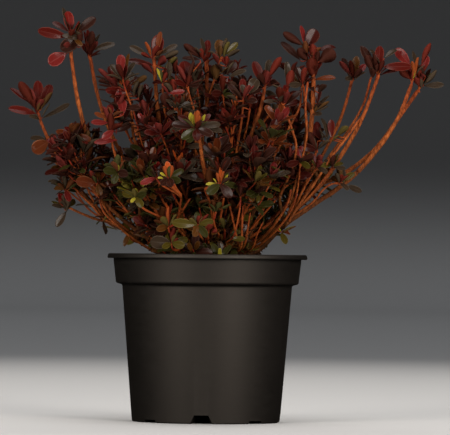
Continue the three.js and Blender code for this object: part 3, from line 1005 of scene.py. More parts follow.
# The model's boughs and shoots
LIMBS = (
    Limb("bough_front_left", (-2, -8, 160), (-30, -34, 205), (4.4, 3), 3, (0, 0.3), ((-42, -48, 232),)),
    Limb("bough_front_right", (12, -7, 160), (42, -32, 205), (4.2, 2.9), 3, (0, 0.3), ((54, -44, 232),)),
    Limb("bough_back_left", (-3, 7, 160), (-32, 32, 205), (4.2, 2.9), 3, (0, 0.3), ((-44, 46, 236),)),
    Limb("bough_back_right", (10, 8, 160), (40, 34, 205), (4, 2.8), 3, (0, 0.3), ((52, 46, 236),)),
    Limb("bough_middle", (4, 0, 160), (6, 0, 310), (4.6, 2), -2, (0, 0.6)),
    Limb("bough_left_low", (-8, 1, 160), (-118, 8, 219), (2.5, 1.7), 9, (0.1, 0.45)),
    Limb("bough_left_high", (-117, 8, 218), (-169, 8, 300), (2, 1.5), 5, (0.45, 1), ((-171, 8, 308),)),
    Limb("bough_left_wing", (-6, -4, 160), (-128, -24, 252), (2.4, 1.7), 15, (0.1, 0.6),
        ((-123, -24, 284),)),
    Limb("bough_left_lowest", (-96, 7, 198), (-138, -13, 212), (1.4, 1), 2, (0.4, 0.7), ((-142, -14, 212),)),
    Limb("bough_right_low", (16, -2, 160), (54, -3, 175), (3.3, 2.3), 2, (0.1, 0.5), ((80, -4, 200.5),
        (102, -5, 216), (126.5, -6, 232), (149.5, -6, 251.4))),
    Limb("bough_right_high", (149, -6, 251), (201, -5, 336), (2.3, 1.7), 6, (0.5, 1), ((202, -5, 340),)),
    Limb("bough_right_second", (95, 6, 234), (183, 3, 295.5), (2.3, 1.8), 11, (0.4, 1), ((199, 4, 318.5),
        (209, 4, 334))),
    Limb("bough_right_third", (15, 5, 160), (168, -18, 345), (3, 1.6), 25, (0.1, 1), ((169, -18, 349),)),
    Limb("shoot_left_tall", (-122, -24, 284), (-138, -24, 366), (2.1, 1.75), 1.5, (0.6, 1),
        ((-137, -24, 384),)),
    Limb("shoot_left_inner", (-78, 20, 250), (-119, 15, 358), (2.05, 1.7), 6, (0.5, 1), ((-121, 16, 368),)),
    Limb("shoot_top_left", (-47, -20, 284), (-55, -18, 356), (2.3, 1.8), 1, (0.5, 1), ((-55, -18, 366),)),
    Limb("shoot_top_middle", (-2, 2, 322), (-2, 3, 364), (1.7, 1.4), 0, (0.7, 1)),
    Limb("shoot_top_right", (40, -28, 282), (55, -28, 333), (2, 1.5), 2, (0.6, 1), ((56, -28, 340),)),
    Limb("shoot_back_right", (56, 42, 290), (80, 63, 330), (2, 1.4), 3, (0.5, 0.9)),
    Limb("shoot_right_tall", (99, -13, 272), (104, -14, 340), (2.5, 1.9), 1, (0.6, 1), ((103, -14, 372),)),
    Limb("shoot_right_inner", (112, 10, 264), (142, 14, 338), (1.8, 1.4), 3, (0.6, 1), ((144, 14, 348),)),
    Limb("shoot_back", (-12, 66, 256), (-20, 150, 322), (2.4, 1.6), 9, (0.4, 0.9)),
    Limb("shoot_back_left", (-56, 56, 270), (-88, 106, 322), (2.1, 1.5), 5, (0.4, 0.9)),
    Limb("shoot_front", (-2, -84, 242), (-9, -120, 290), (1.9, 1.4), 5, (0.4, 0.9)),
)

# Bare stems inside the crown, read off the photo
STEMS = tuple(Stem(*row) for row in (
    ((1.8, 1.2), ((-58, -28, 236), (-68, -30, 265), (-75, -32, 285), (-77, -34, 305), (-82, -35, 322),
        (-88, -36, 331)), 0.35),
    ((1.7, 1.2), ((-69, -38, 215), (-84, -44, 242), (-92, -48, 264), (-96, -52, 281), (-97, -55, 298))),
    ((1.6, 1.1), ((-96, -12, 212), (-112, -16, 233), (-125, -20, 251), (-132, -22, 263), (-135, -24, 274),
        (-136, -26, 284))),
    ((1.4, 1), ((-124, 4, 226), (-130, 4, 234), (-138, 3, 242), (-152, 2, 256), (-159, 2, 269))),
    ((1.5, 1.1), ((-86, -4, 193), (-104, -7, 202), (-115, -9, 214), (-126, -11, 224), (-134, -13, 232),
        (-141, -14, 230))),
    ((1.5, 1.1), ((-82, 2, 191), (-100, 0, 200), (-111, -2, 214), (-120, -4, 230), (-124, -5, 240),
        (-132, -6, 248), (-146, -8, 254))),
    ((1.6, 1.2), ((-78, -10, 189), (-96, -17, 204), (-105, -21, 217), (-111, -26, 234), (-112, -30, 248))),
    ((1.5, 1.1), ((-24, -22, 256), (-32, -29, 284), (-42, -34, 302), (-45, -38, 316), (-46, -42, 336)), 0.4),
    ((1.5, 1.1), ((-22, -26, 251), (-28, -36, 280), (-33, -43, 305), (-35, -50, 327))),
    ((1.9, 1.4), ((-12, -14, 189), (-15, -20, 221), (-13, -26, 256), (-13, -31, 283), (-15, -35, 308),
        (-19, -38, 322), (-22, -40, 336)), 0.55),
    ((1.7, 1.3), ((-4, -4, 221), (-6, -2, 261), (-4, 0, 302), (-3, 1, 332), (-4, 2, 361)), 0.6),
    ((1.5, 1.2), ((-7, -12, 271), (-4, -12, 303), (0, -12, 325), (5, -12, 343), (10, -12, 362)), 0.45),
    ((1.6, 1.2), ((6, -14, 231), (12, -20, 276), (16, -23, 303), (14, -26, 330))),
    ((1.7, 1.2), ((14, -22, 212), (22, -29, 241), (26, -32, 258), (31, -39, 289), (33, -43, 307),
        (34, -46, 323)), 0.3),
    ((1.5, 1.2), ((27, -20, 261), (34, -27, 279), (38, -34, 297), (41, -40, 315)), 0.3),
    ((1.6, 1.2), ((72, -24, 227), (84, -38, 257), (87, -44, 276), (82, -42, 293), (74, -32, 316)), 0.4),
    ((1.5, 1.1), ((36, -10, 257), (44, -15, 284), (57, -19, 303), (69, -23, 318), (72, -24, 326)), 0.3),
    ((1.3, 1), ((59, -20, 262), (66, -25, 284), (71, -29, 303), (73, -32, 315))),
    ((1.4, 1.1), ((61, -26, 257), (75, -25, 284), (82, -24, 298), (90, -23, 314), (92, -22, 334)), 0.35),
    ((1.6, 1.3), ((84, -12, 227), (93, -6, 262), (97, -3, 292), (96, -7, 314), (94, -16, 337)), 0.35),
    ((1.5, 1.2), ((82, -24, 222), (91, -33, 254), (97, -38, 286), (96, -34, 314), (98, -24, 340)), 0.35),
    ((1.6, 1.3), ((92, -8, 220), (106, -4, 244), (122, 0, 268), (138, 1, 290), (152.5, -3, 315),
        (158, -9, 330), (161, -14, 345)), 0.15),
    ((1.5, 1.2), ((80, -24, 200), (92, -26, 219), (106, -27, 240), (122.5, -26, 264.5), (136, -24, 283),
        (146, -20, 298), (155, -8, 310), (163, -8, 330), (167, -13, 346)), 0.15),
    ((1.7, 1.3), ((84, -12, 210), (94, -14, 232), (102, -16, 252), (107, -17, 270), (108, -18, 280))),
    ((1.3, 1), ((85, -20, 208), (91, -25, 225), (99, -30, 241), (108, -34, 255))),
    ((1.3, 1), ((78, -18, 204), (87, -27, 226), (90, -34, 244), (91, -40, 258))),
    ((1.4, 1), ((82, -12, 206), (102, -18, 227), (113, -22, 241), (124, -26, 255))),
    ((1.4, 1), ((80, -8, 203), (104, -14, 220), (114, -16, 232), (122, -18, 238), (131, -20, 240))),
    ((1.5, 1.1), ((-12, -34, 175), (-29, -60, 193), (-28, -77, 208), (-26, -92, 222))),
    ((1.4, 1), ((-18, -40, 181), (-29, -64, 199), (-22, -84, 214), (-17, -94, 222))),
    ((1.5, 1.1), ((18, -16, 172), (5, -54, 199), (3, -75, 215), (-3, -96, 230))),
    ((1.6, 1.1), ((14, -14, 170), (-2, -43, 179), (-12, -68, 192), (-21, -90, 202))),
    ((1.4, 1), ((28, -10, 172), (33, -48, 198), (38, -70, 211), (43, -86, 221))),
    ((1.8, 1.3), ((38, -6, 170), (55, -21, 184), (68, -35, 200), (78, -49, 217), (82, -60, 232))),
    ((1.7, 1.2), ((42, -4, 170), (60, -18, 184), (76, -31, 201), (84, -41, 215), (88, -50, 229))),
    ((2, 1.4), ((32, 0, 170), (44, 10, 190), (54, 20, 210), (64, 30, 233)), 0.2),
    ((1.6, 1.1), ((-56, -6, 171), (-76, -13, 183), (-89, -19, 194), (-103, -25, 208), (-109, -30, 224))),
    ((1.3, 1), ((18, -18, 166), (30, -44, 174), (28, -58, 188), (24, -66, 206), (20, -70, 220)), 0.3),
    ((1.3, 1), ((20, -14, 166), (35, -40, 174), (39, -52, 190), (42, -60, 209)), 0.3),
    ((1.2, 0.9), ((24, -10, 166), (43, -34, 173), (49, -46, 187), (55, -54, 200)), 0.3),
    ((1.4, 1), ((16, -20, 166), (32, -50, 173), (34, -62, 193), (35, -68, 216)), 0.3),
))

# Heads that give the plant its outline from the front
OUTLINE_HEADS = (
    head((-138, -24, 381), far(-4, 27, 10, RED, -0.2, 0, 4), far(-9, 31, 5, GREY, 0.1, -1, 3),
        (-33, 7, 10, BRICK, 0.15, -2, 1), far(-19, 16, 5, MAROON, 0.2, -2, 6),
        far(24, 21, 9, PLUM, 0.25, 5, 5), (-10, -12, 14, PLUM, 0.2, 11, 1), (-9, 2, 6, GREY, 0.5, 13, -2),
        (-22, -26, 13, ROSE, 0.2, -4, -15), (9, 8, 6, MAROON, 0.1, 9, -9), (11, -9, 4, OLIVE_BROWN, 0.2, 3)),
    head((-121, 16, 365), far(-6, 25, 4, BRICK, 0.2), far(-2, 27, 5, DARK_RED), (3, 25, 8, MAROON),
        far(11, 23, 4, GREY, 0.2), far(26, 13, 7, GREY, 0.15, 3, 6), (6, 12, 5, DARK_RED, 0.2),
        (-3, 15, 4, BRICK, 0.2), (8, 14, 5, ROSE, 0.1, 1, 2)),
    head((-171, 8, 308), far(-1, 32, 10, BRICK, 0.1, 0, 3), far(12, 28, 10, DARK_RED, 0.2, 2, 4),
        (14, 20, 5, OLIVE_BROWN, 0.2, 3, 3), (-19, 30, 10, BRICK, 0.1, -2, 3),
        far(-29, 24, 5, BRICK, 0.2, -7, 7), (-30, 3, 8, BRICK, 0.25, -1, -2),
        far(31, 9, 5, GREY, -0.35, 4, -6), (-9, -5, 4, GREY, 0.8, 2, -8), (-8, 24, 4, ROSE, 0.1, -2, 4),
        far(-12, 20, 6, OLIVE_BROWN, 0.1, -2, 3)),
    head((-88, -36, 329), far(0, 36, 9, ROSE, 0.1, 0, 16), far(8, 37, 4, OLIVE_BROWN, 0.1, 4, 12),
        (-22, 21, 6, ROSE, 0.1, -4, 4), far(-12, 24, 7, MAROON, 0.1, -4, 8), (-8, 20, 7, BRICK, 0.1, -2, 2),
        (6, 10, 5, RED, 0.1, 9), far(11, 19, 7, GREY, 0.1, 8, 4), (-15, 0, 8, BRICK, 0.2, 10, -2),
        (-9, -7, 6, BRONZE, 0.2, 12, -3), (26, 14, 6, OLIVE_BROWN, 0.6, 11, 5),
        far(17, 14, 6, PLUM, 0.1, 16, -5), (22, 6, 4, GREY, 0.1, 18, -8)),
    head((-97, -55, 299), far(-1, 16, 7, ROSE, 0.1, 0, 2), (12, 8, 4, TAN, 0.1, 2, 3),
        (-16, 6, 3.5, TAN, 0.1, -3, 1), (-19, -3, 6, ROSE, 0.15, -2, -3), far(10, 21, 9, ROSE, 0.1, 13, 6),
        (0, 7, 7, BRICK, 0.1, 1, -15), (-8, -19, 7, ROSE, 0.2, 4, -10), (-16, -23, 6, ROSE, 0.2, 7, -20),
        far(20, -3, 7, PLUM, 0.2, 6, -12)),
    head((-135, -26, 285), (-17, 3, 6, BRONZE, 0.3), far(-8, 8, 5, BRICK, 0.2), far(2, 12, 10, BRONZE, 0.2),
        far(16, 6, 7, BRONZE, 0.2), (19, -6, 7, BRONZE, 0.5), (-15, -3, 6, MAROON, 0.3),
        (14, -10, 4, BRICK, 0.1, 9, -4), far(-1, -16, 6, PLUM, 0.4, 4, -4)),
    head((-159, 2, 270), (-17, -2, 14, TAN, 0.15, -1, 9), far(-20, 12, 5, GREY, 0.3, -3, 10),
        far(8, -8, 5, BRONZE, 0.3, 1, 2)),
    head((-146, -8, 254), (-11, -8, 9, OLIVE_BROWN, 0.15, -1), far(4, 14, 6, BRONZE, 0.2),
        far(8, -6, 6, PLUM, 0.4)),
    head((-142, -14, 230), (-14, 7, 5, GREY, 1.4), far(-12, 2, 5, OLIVE_BROWN, 0.6),
        (10, 12, 8, BRONZE, 0.3), (4, -12, 6, ROSE, 0.3), far(14, 2, 7, GREEN, 0.4)),
    head((-142, -14, 212), (-5, 9, 5, RED, 0, -4, 3), far(-10, 10, 5, GREY, 0.4, 0, 4),
        (-13, 2, 4, GREY, 0.2), (-9, -19, 7, GREY, 0.2, 1, -3), far(4, 12, 6, GREY, 0.3),
        far(9, 8, 6, OLIVE, 0.4)),
    head((-55, -18, 358), far(4, 28, 12, BRICK, -0.1, 1, 2), far(6, 31, 5, TAN, 0.1, 3, 10),
        (-9, 20, 4, ORANGE, 0.1, -3, 5), far(-25, 16, 6, GREY, 0.2, -5, 5), (-26, 1, 6, MAROON, 0.5, -2, -4),
        (-12, -2, 5, ROSE, 0.2, -1, -12), far(23, 18, 5, GREY, 0.2, 5, 7), (24, 11, 6, GREY, 0.2, 6, 2),
        (23, 5, 5, OLIVE, 0.1, 10, -6), (-13, 9, 4, RED, 0.2, -3, 4), (11, 5, 8, ROSE, 0.2, 3, -4)),
    head((-46, -42, 336), (-6, 15, 3, LIME), far(1, 14, 4, ORANGE), (4, 11, 4, RED, 0.2),
        far(6, 22, 6, GREY, 0.1, 6, 4), far(12, 4, 6, GREEN, 0.4), far(-10, 2, 5, MAROON, 0.3)),
    head((-35, -50, 327), (-1, 13, 6, RED), far(5, 14, 6, GREY, 0.2), (11, 1, 5, ROSE, 0.2, -6, -1),
        (-10, -1, 9, MAROON, 0.1, -6, -16), far(13, -7, 6, PLUM, 0.3), far(-14, 3, 5, PLUM, 0.2)),
    head((-22, -40, 334), far(-3, 25, 14, BRICK, -0.15), (-10, 20, 5, ROSE, 0.1, 0, 2),
        (7, 24, 5, MAROON, 0.1, 1, 4), far(-5, 28, 5, PLUM, 0.1, 13, 26), (-13, 4, 6, DARK_RED, 0.3),
        far(12, 3, 7, PLUM, 0.3)),
    head((-4, 2, 360), (-22, 17, 7, MAROON, 0.2, -4, 4), far(-5, 24, 4, GREY, 0.1, -1, 6),
        far(2, 22, 7, BRICK, 0.1, 1, 4), (-5, 13, 5, RED, 0.1, -2, 1), (4, 10, 5, RED, 0.1, 2, 2),
        (-7, -2, 8, MAROON, 0.1, -7, -20)),
    head((11, -12, 362), far(-1, 20, 10, OLIVE_BROWN, 0.1, -1, 2), (6, 21, 5, GREY, 0.1, 2, 2),
        far(17, 17, 6, OLIVE, 0.2, 4, 4), (19, 9, 5, GREY, 0.2, 5, 1), (6, 3, 5, RED, 0, 6, -7),
        (-7, 5, 5, ROSE, 0.1, -2, -6), far(15, -2, 11, PLUM, 0.5, 2, -16), (26, -11, 5, GREY, 0.5, 8, -18),
        (-6, -6, 9, OLIVE_BROWN, 0.1, -4, -22)),
    head((14, -26, 327), (-1, 18, 6, BRICK), far(6, 12, 8, MAROON, 0.2), far(-9, 10, 6, GREY, 0.3),
        (6, 12, 8, PLUM, 0.1, 18, -2), (-12, 0, 7, MAROON, 0.3), (10, -4, 6, GREEN, 0.2)),
    head((34, -46, 321), far(-1, 21, 7, BRICK, 0.05, 0, 2), far(13, 21, 11, GREY, 0.2, 5, 5),
        (7, 4, 6, BRICK, 0.1, 7, -10), far(-15, 15, 6, PLUM, 0.2, -2, 1), (-16, 3, 5, GREY, 0.3, -6, -2),
        (6, 14, 5, ROSE), (14, -2, 6, PLUM, 0.2)),
    head((55, -28, 335), far(-11, 25, 9, DARK_RED), far(5, 27, 7, GREY, 0.1, 2, 8),
        (16, 29, 7, RED, 0.1, 4, 8), (3, 15, 6, ROSE), (-6, 12, 6, MAROON), (-15, -8, 6, PLUM, 0.3, -2, -3),
        far(12, 6, 6, MAROON, 0.3)),
    head((74, -30, 315), far(3, 45, 6, GREY, 0.1, 4, 20), (8, 36, 8, RED, 0.1, 4, 16),
        far(-12, 26, 6, PLUM, 0.2, 0, 16), (-5, 19, 8, BRICK, 0.1, -1, 2), (4, 14, 5, ROSE, 0.1, 2, 3),
        (-20, 4, 4.5, GREY, 0.2, -4, 5), far(-18, 15, 6, GREY, 0.3, -4, 8), far(16, 6, 6, MAROON, 0.3),
        far(18, 16, 6, PLUM, 0.2)),
    head((103, -14, 356), far(-12, 41, 5, ROSE, 0.1, -9, 22), far(3, 37, 13, MAROON, 0.15, -6, 18),
        (-30, 33, 8, MAROON, 0.2, -9, 20), far(-32, 24, 7, PLUM, 0.2, -12, 5),
        (-15, 17, 9, MAROON, 0.1, -4, 4), (-1, 22, 8, RED, 0, 2, 3), far(23, 19, 5, MAROON, 1, 3, 14),
        (22, 15, 14, MAROON, 0.2, 6, 4), (-1, 8, 12, BRICK, 0.1, 1, -14), (23, -12, 5, BRONZE, 0.4, 1, -14),
        (-8, 25, 6, BRONZE, 0.1, -7, 6), far(8, 10, 7, DARK_RED, 0.2, 3, -6)),
    head((93, -22, 337), (2, 17, 6, RED), far(-6, 18, 7, PLUM), far(-12, 12, 6, OLIVE_BROWN, 0.2),
        (-14, -1, 6, GREY, 0.3), far(6, 12, 5, MAROON), (22, 0, 6, PLUM, 0.2, 16, -8)),
    head((103, -12, 308), far(17, 19, 3.5, GREY, 0.1, 1, 2), (17, 13, 4, OLIVE_BROWN, 0.1, 2, 2),
        far(6, 30, 7, MAROON, 0.1, 5, 10), far(-2, 24, 6, PLUM, 0.1, 1, 6), (9, -1, 5, GREY, 0.3),
        far(-10, 9, 5, MAROON, 0.3)),
    head((108, -18, 272), far(0, 29, 9, DARK_RED), far(4, 32, 4, GREY, 0.7, 10, 10),
        far(14, 31, 7, BRICK, 0.1, 14, 12), (12, 10, 4, GREY, 0.2), (30, 24, 6, OLIVE, 0.2, 20, 14),
        (-10, 18, 9, MAROON, 0.2), (-16, 4, 8, MAROON, 0.3), far(26, 14, 4, GREY, 0.2, 16, 12)),
    head((144, 14, 345), (-14, 17, 5, ROSE), far(-11, 21, 6, PLUM), (-3, 18, 5, BRICK),
        far(4, 23, 8, OLIVE_BROWN), far(13, 15, 6, ROSE), (-8, -2, 5, GREY, 0.3), (8, 9, 6, MAROON, 0.2)),
    head((167, -18, 346), far(-16, 31, 8, PLUM, 0.2, -3, 5), (-11, 21, 9, MAROON, 0.1, -2, 4),
        far(3, 31, 9, BRICK, 0.1, 1, 7), (34, 10, 9, BRICK, 0.15, 5, 10), far(32, 7, 5, MAROON, 0.6, 2, 1),
        far(20, 28, 5, GREY, 0.3, 7, 18), (-4, 23, 4, MAROON, 0.1, -2, 8), (-7, 11, 4, MAROON, 0.1, -5, -2),
        (6, 16, 5, DARK_RED, 0.1, 2, 3)),
    head((202, -5, 340), far(-16, 35, 10, ROSE, 0.1, -1, 18), (-12, 13, 7, BRICK, 0.1, -1, 4),
        (0, 22, 4, ORANGE, 0.1, 1, 5), far(1, 33, 4, GREY, 0.1, 5, 14), (6, 26, 4, ORANGE, 0.1, 4, 8),
        (3, 13, 2.4, LIME, 0.1, 1, 3), far(-4, 22, 6, DARK_RED, 0.1, 0, 4)),
    head((210, 4, 334), (11, 47, 6, RED, 0.1, 2, 24), far(8, 35, 7, ROSE, 0.1, 4, 18),
        (-3, 24, 5, PLUM, 0.2, 6, 14), (-1, 21, 6, RED, 0.1, 1, 5), (17, 20, 5, GREY, -0.9, 4, 5),
        (25, 5, 6, GREY, 0.1, 4, 4), far(11, 18, 5, GREEN, 0.2, 4, 9), (3, 26, 6, ROSE, 0.1, 1, 6)),
)

# Heads that stand out inside the crown
INNER_HEADS = (
    head((-12, -124, 290), (-5.5, 15, 4.6, LIME, 0.1, -4.5, 1), far(-3, 13, 3.4, LIME, 0.1, -2.5),
        (1.5, 17, 5.4, ORANGE, 0, 1), (3.5, 12, 4.2, ORANGE, 0, 1.5), (9, 13, 3.6, LIME, 0.2, 4, 2),
        far(-24, 4, 7, PLUM, 0.3), far(24, 4, 7, GREY, 0.5), (-14, -11, 8, GREEN, 0.4),
        far(-18, 12, 6, MAROON, 0.3), far(14, 14, 6, DARK_RED, 0.3), far(-8, -14, 7, GREEN, 0.3),
        (17, -7, 8, PLUM, 0.4), (1, -13, 8, MAROON, 0.4), far(26, -3, 6, GREY, 0.4)),
    head((-38, -108, 241), far(-2, 17, 5.6, ORANGE), (-5, 12, 4.4, ORANGE, 0.1, -1.5, 1),
        (3, 12.5, 4.4, ORANGE, 0.1, 1.5, 1), (-11, 0, 4, LIME, 0.3, -2), (-9, 5, 4, LIME, 0.2, -2, 1),
        (3, -9, 8, PLUM, 0.4), (-8, -7, 7, PLUM, 0.4), (12, -3, 7, GREEN, 0.4), far(14, 9, 6, GREEN, 0.3)),
    head((12, -112, 236), far(0, 16.5, 4.4, ORANGE), (3.5, 12.5, 3.4, ORANGE, 0.1, 1),
        (-3.5, 11, 3.4, ORANGE, 0.1, -1), (-14, -1, 4.6, LIME, 0.4, -3), far(-7, 5, 3.4, LIME, 0.2, -3),
        (10, 5, 4.4, LIME, 0.3, 3), far(8, 9, 3.4, LIME, 0.2, 3, 1), (-13, -10, 9, GREEN, 0.4),
        (12, -13, 9, PLUM, 0.4), far(17, -2, 6, GREEN, 0.4)),
    head((-38, -96, 194), far(-3, 24, 3, ORANGE), (0, 20, 3, ORANGE), far(3, 23, 3, BRICK),
        (-7, 9, 6, OLIVE, 0.3), far(9, 5, 6, OLIVE, 0.3), (-12, -3, 7, OLIVE_BROWN, 0.4)),
    head((-9, -104, 196), (-26, 2, 9, OLIVE, 0.3), (1, 9, 5, RED, 0), (15, 4, 7, OLIVE, 0.3),
        (18, -4, 5, RED, 0, 13, -8), (-4, -12, 7, OLIVE_BROWN, 0.4), (9, -12, 7, GREEN, 0.2)),
    head((-35, -88, 178), (-21, 1, 13, GREY, 0.3), (13, -3, 8, OLIVE, 0.3), (6, 5, 5, RED, 0),
        far(-4, 10, 7, OLIVE, 0.3), far(16, 4, 7, OLIVE, 0.3), (-9, -5, 6, OLIVE, 0.2)),
    head((-110, -40, 236), (-21, 3, 11, BRONZE, 0.2), far(6, 10, 6, GREEN, 0.3),
        (4, -12, 6, OLIVE_BROWN, 0.2), (-7, 13, 5, RED, 0)),
    head((-50, -100, 242), (-16, -7, 6, ROSE), far(5, 12, 6, PLUM, 0.2), (12, -4, 7, PLUM, 0.4),
        far(-10, 8, 6, GREEN, 0.3)),
    head((91, -40, 260), far(2, 16, 7, ROSE), far(-12, 8, 7, PLUM, 0.3), (13, 6, 7, MAROON, 0.3),
        (-14, -4, 7, MAROON, 0.3), (10, -6, 6, OLIVE, 0.2)),
    head((108, -34, 255), (3, 12, 6, ROSE), far(-6, 14, 5, BRICK), far(14, 3, 5, OLIVE, 0.3),
        (10, -6, 5, GREY, 0.3)),
    head((124, -26, 255), (0, 12, 5, MAROON), (12, -2, 4, GREY, 0.2), far(10, 5, 4, OLIVE, 0.2),
        far(-8, 8, 5, GREY, 0.2)),
    head((131, -20, 240), (2, 8, 5, RED, 0), far(15, 10, 6, OLIVE, 0.2), (22, -9, 6, GREY, 0.3, 6, -2),
        far(-8, 6, 6, OLIVE_BROWN, 0.3), (8, -8, 5, GREY, 0.3)),
    head((73, -20, 190), (5, -12, 6, OLIVE, 0.2), far(9, -1, 4, BRONZE, 0.3), (-3, 5, 4, LIME, 0.2),
        hanging=True),
    head((-77, -10, 190), (-6, -16, 5, OLIVE_BROWN, 0.2), far(-8, 8, 6, OLIVE, 0.3), hanging=True),
    head((-105, -4, 200), (3, -14, 4, GREY, 0.2), far(-2, 12, 5, OLIVE, 0.3), hanging=True),
    head((-70, -92, 223), (-1, 8, 4, LIME), (-5, -6, 4, LIME, 0.3), (10, 3, 7, GREEN, 0.4),
        far(-14, 4, 7, OLIVE, 0.3), (6, -11, 7, OLIVE, 0.2)),
    head((-89, -80, 247), (-5, 10, 5, TAN), far(1, 7, 3.6, LIME), (-14, 2, 8, GREEN, 0.4),
        (11, -2, 8, PLUM, 0.4), (-4, -12, 7, GREEN, 0.4)),
)

# Places where a grown head closes a gap that the photo doesn't show
FILL_PLACES = (
    (-71, 18, 325), (-61, 20, 320), (-124, 6, 287), (-113, 8, 280), (-108, 4, 268), (-121, 2, 271),
    (-146, 14, 240), (-139, 12, 247), (-102, 4, 262), (-34, 4, 350), (84, 18, 312), (88, 20, 299),
    (87, 16, 288), (91, 22, 278), (-109, 12, 222), (-99, -6, 214), (-99, 22, 216), (-89, 14, 207),
    (-104, 2, 232), (-84, -10, 217), (-84, 20, 214), (-74, 6, 204), (-114, -4, 230), (-74, -24, 213),
    (-64, 18, 199), (-66, -16, 203), (-94, -24, 225), (-58, 30, 205), (0, -72, 224), (8, -78, 210),
    (-8, -66, 214),
)

# Gaps that show sky from the front: left, right, lowest and highest
SKY = (
    (-128, -92, 296, 372), (-100, -78, 340, 372), (50, 72, 303, 334), (106, 134, 283, 364),
    (126, 178, 243, 300), (-80, -60, 334, 360),
)


# For each least mood, the tints of a spray's inner and outer leaves, each with its weight
TINTS_BY_MOOD = (
    (0.66, {RED: 2, BRICK: 4, ROSE: 3, DARK_RED: 4, BRONZE: 1, ORANGE: 0.3},
     {MAROON: 4, PLUM: 3, GREY: 2, BRONZE: 1, DARK_RED: 1.5}),
    (0.3, {BRICK: 2.5, DARK_RED: 3, ROSE: 1.5, BRONZE: 3, OLIVE_BROWN: 1.5, MAROON: 2, ORANGE: 0.4, RED: 0.7},
     {PLUM: 4, GREEN: 2, GREY: 2, MAROON: 2.5, BRONZE: 1}),
    (-1, {OLIVE: 4, GREEN: 3, OLIVE_BROWN: 3, BRONZE: 2, BRICK: 1, RED: 0.5, ORANGE: 0.6, LIME: 0.5,
          TAN: 0.4},
     {GREEN: 4, OLIVE: 3, PLUM: 2, GREY: 1.5, OLIVE_BROWN: 2}),
)
TWIG_COLOURS = {
    "old_brown": (76, 49, 28), "brown": (98, 57, 26), "rust": (126, 64, 27), "orange": (144, 68, 29),
    "red": (128, 44, 23),
}


def mood_at(height: float, drift: float = 0.0) -> float:
    """How red a spray's colours are at a height, from 0 low in the crown to 1 at its top."""
    return float(np.clip((height - 185) / 150 + drift, 0, 1))


def spread(at: Array, leaf: Leaf, rng: np.random.Generator) -> tuple[Array, Array, Array, float]:
    """Gives a placed leaf its depth, which the front view doesn't show.

    A leaf that looks short leans to the viewer or away, so that its real length comes out whole. A
    leaf that looks narrow is turned about its own length.

    Args:
        at: The head's place.
        leaf: The placed leaf.
        rng: Source of small differences.

    Returns:
        Base, tip, the way its upper face looks, and its real width.
    """
    right, up = leaf.right - leaf.base_right, leaf.up - leaf.base_up
    seen = np.hypot(right, up)
    real = max(seen * 1.03, rng.uniform(17, 22))
    if leaf.tint is LIME:
        base, tip = at + [leaf.base_right, 0, leaf.base_up], at + [leaf.right, -5, leaf.up]
        return base, tip, TO_VIEWER + UP, leaf.width
    if leaf.tint is ORANGE or (leaf.tint is RED and seen < 16):
        real = seen * 1.15
    lean = leaf.side.value * np.sqrt(max(real**2 - seen**2, 0))
    base = at + [leaf.base_right, 0.12 * lean, leaf.base_up]
    tip = at + [leaf.right, lean, leaf.up]
    way = unit(tip - base)
    width = max(leaf.width, 0.3 * real)
    turn = np.arccos(np.clip(leaf.width / width, 0, 1))
    facing = square_to(TO_VIEWER, way)
    if leaf.side is Side.NEAR and up > 0.4 * seen:
        facing = -facing
    beside = np.cross(way, facing)
    if beside[2] < 0:
        beside = -beside
    return base, tip, np.cos(turn) * facing + np.sin(turn) * beside, width


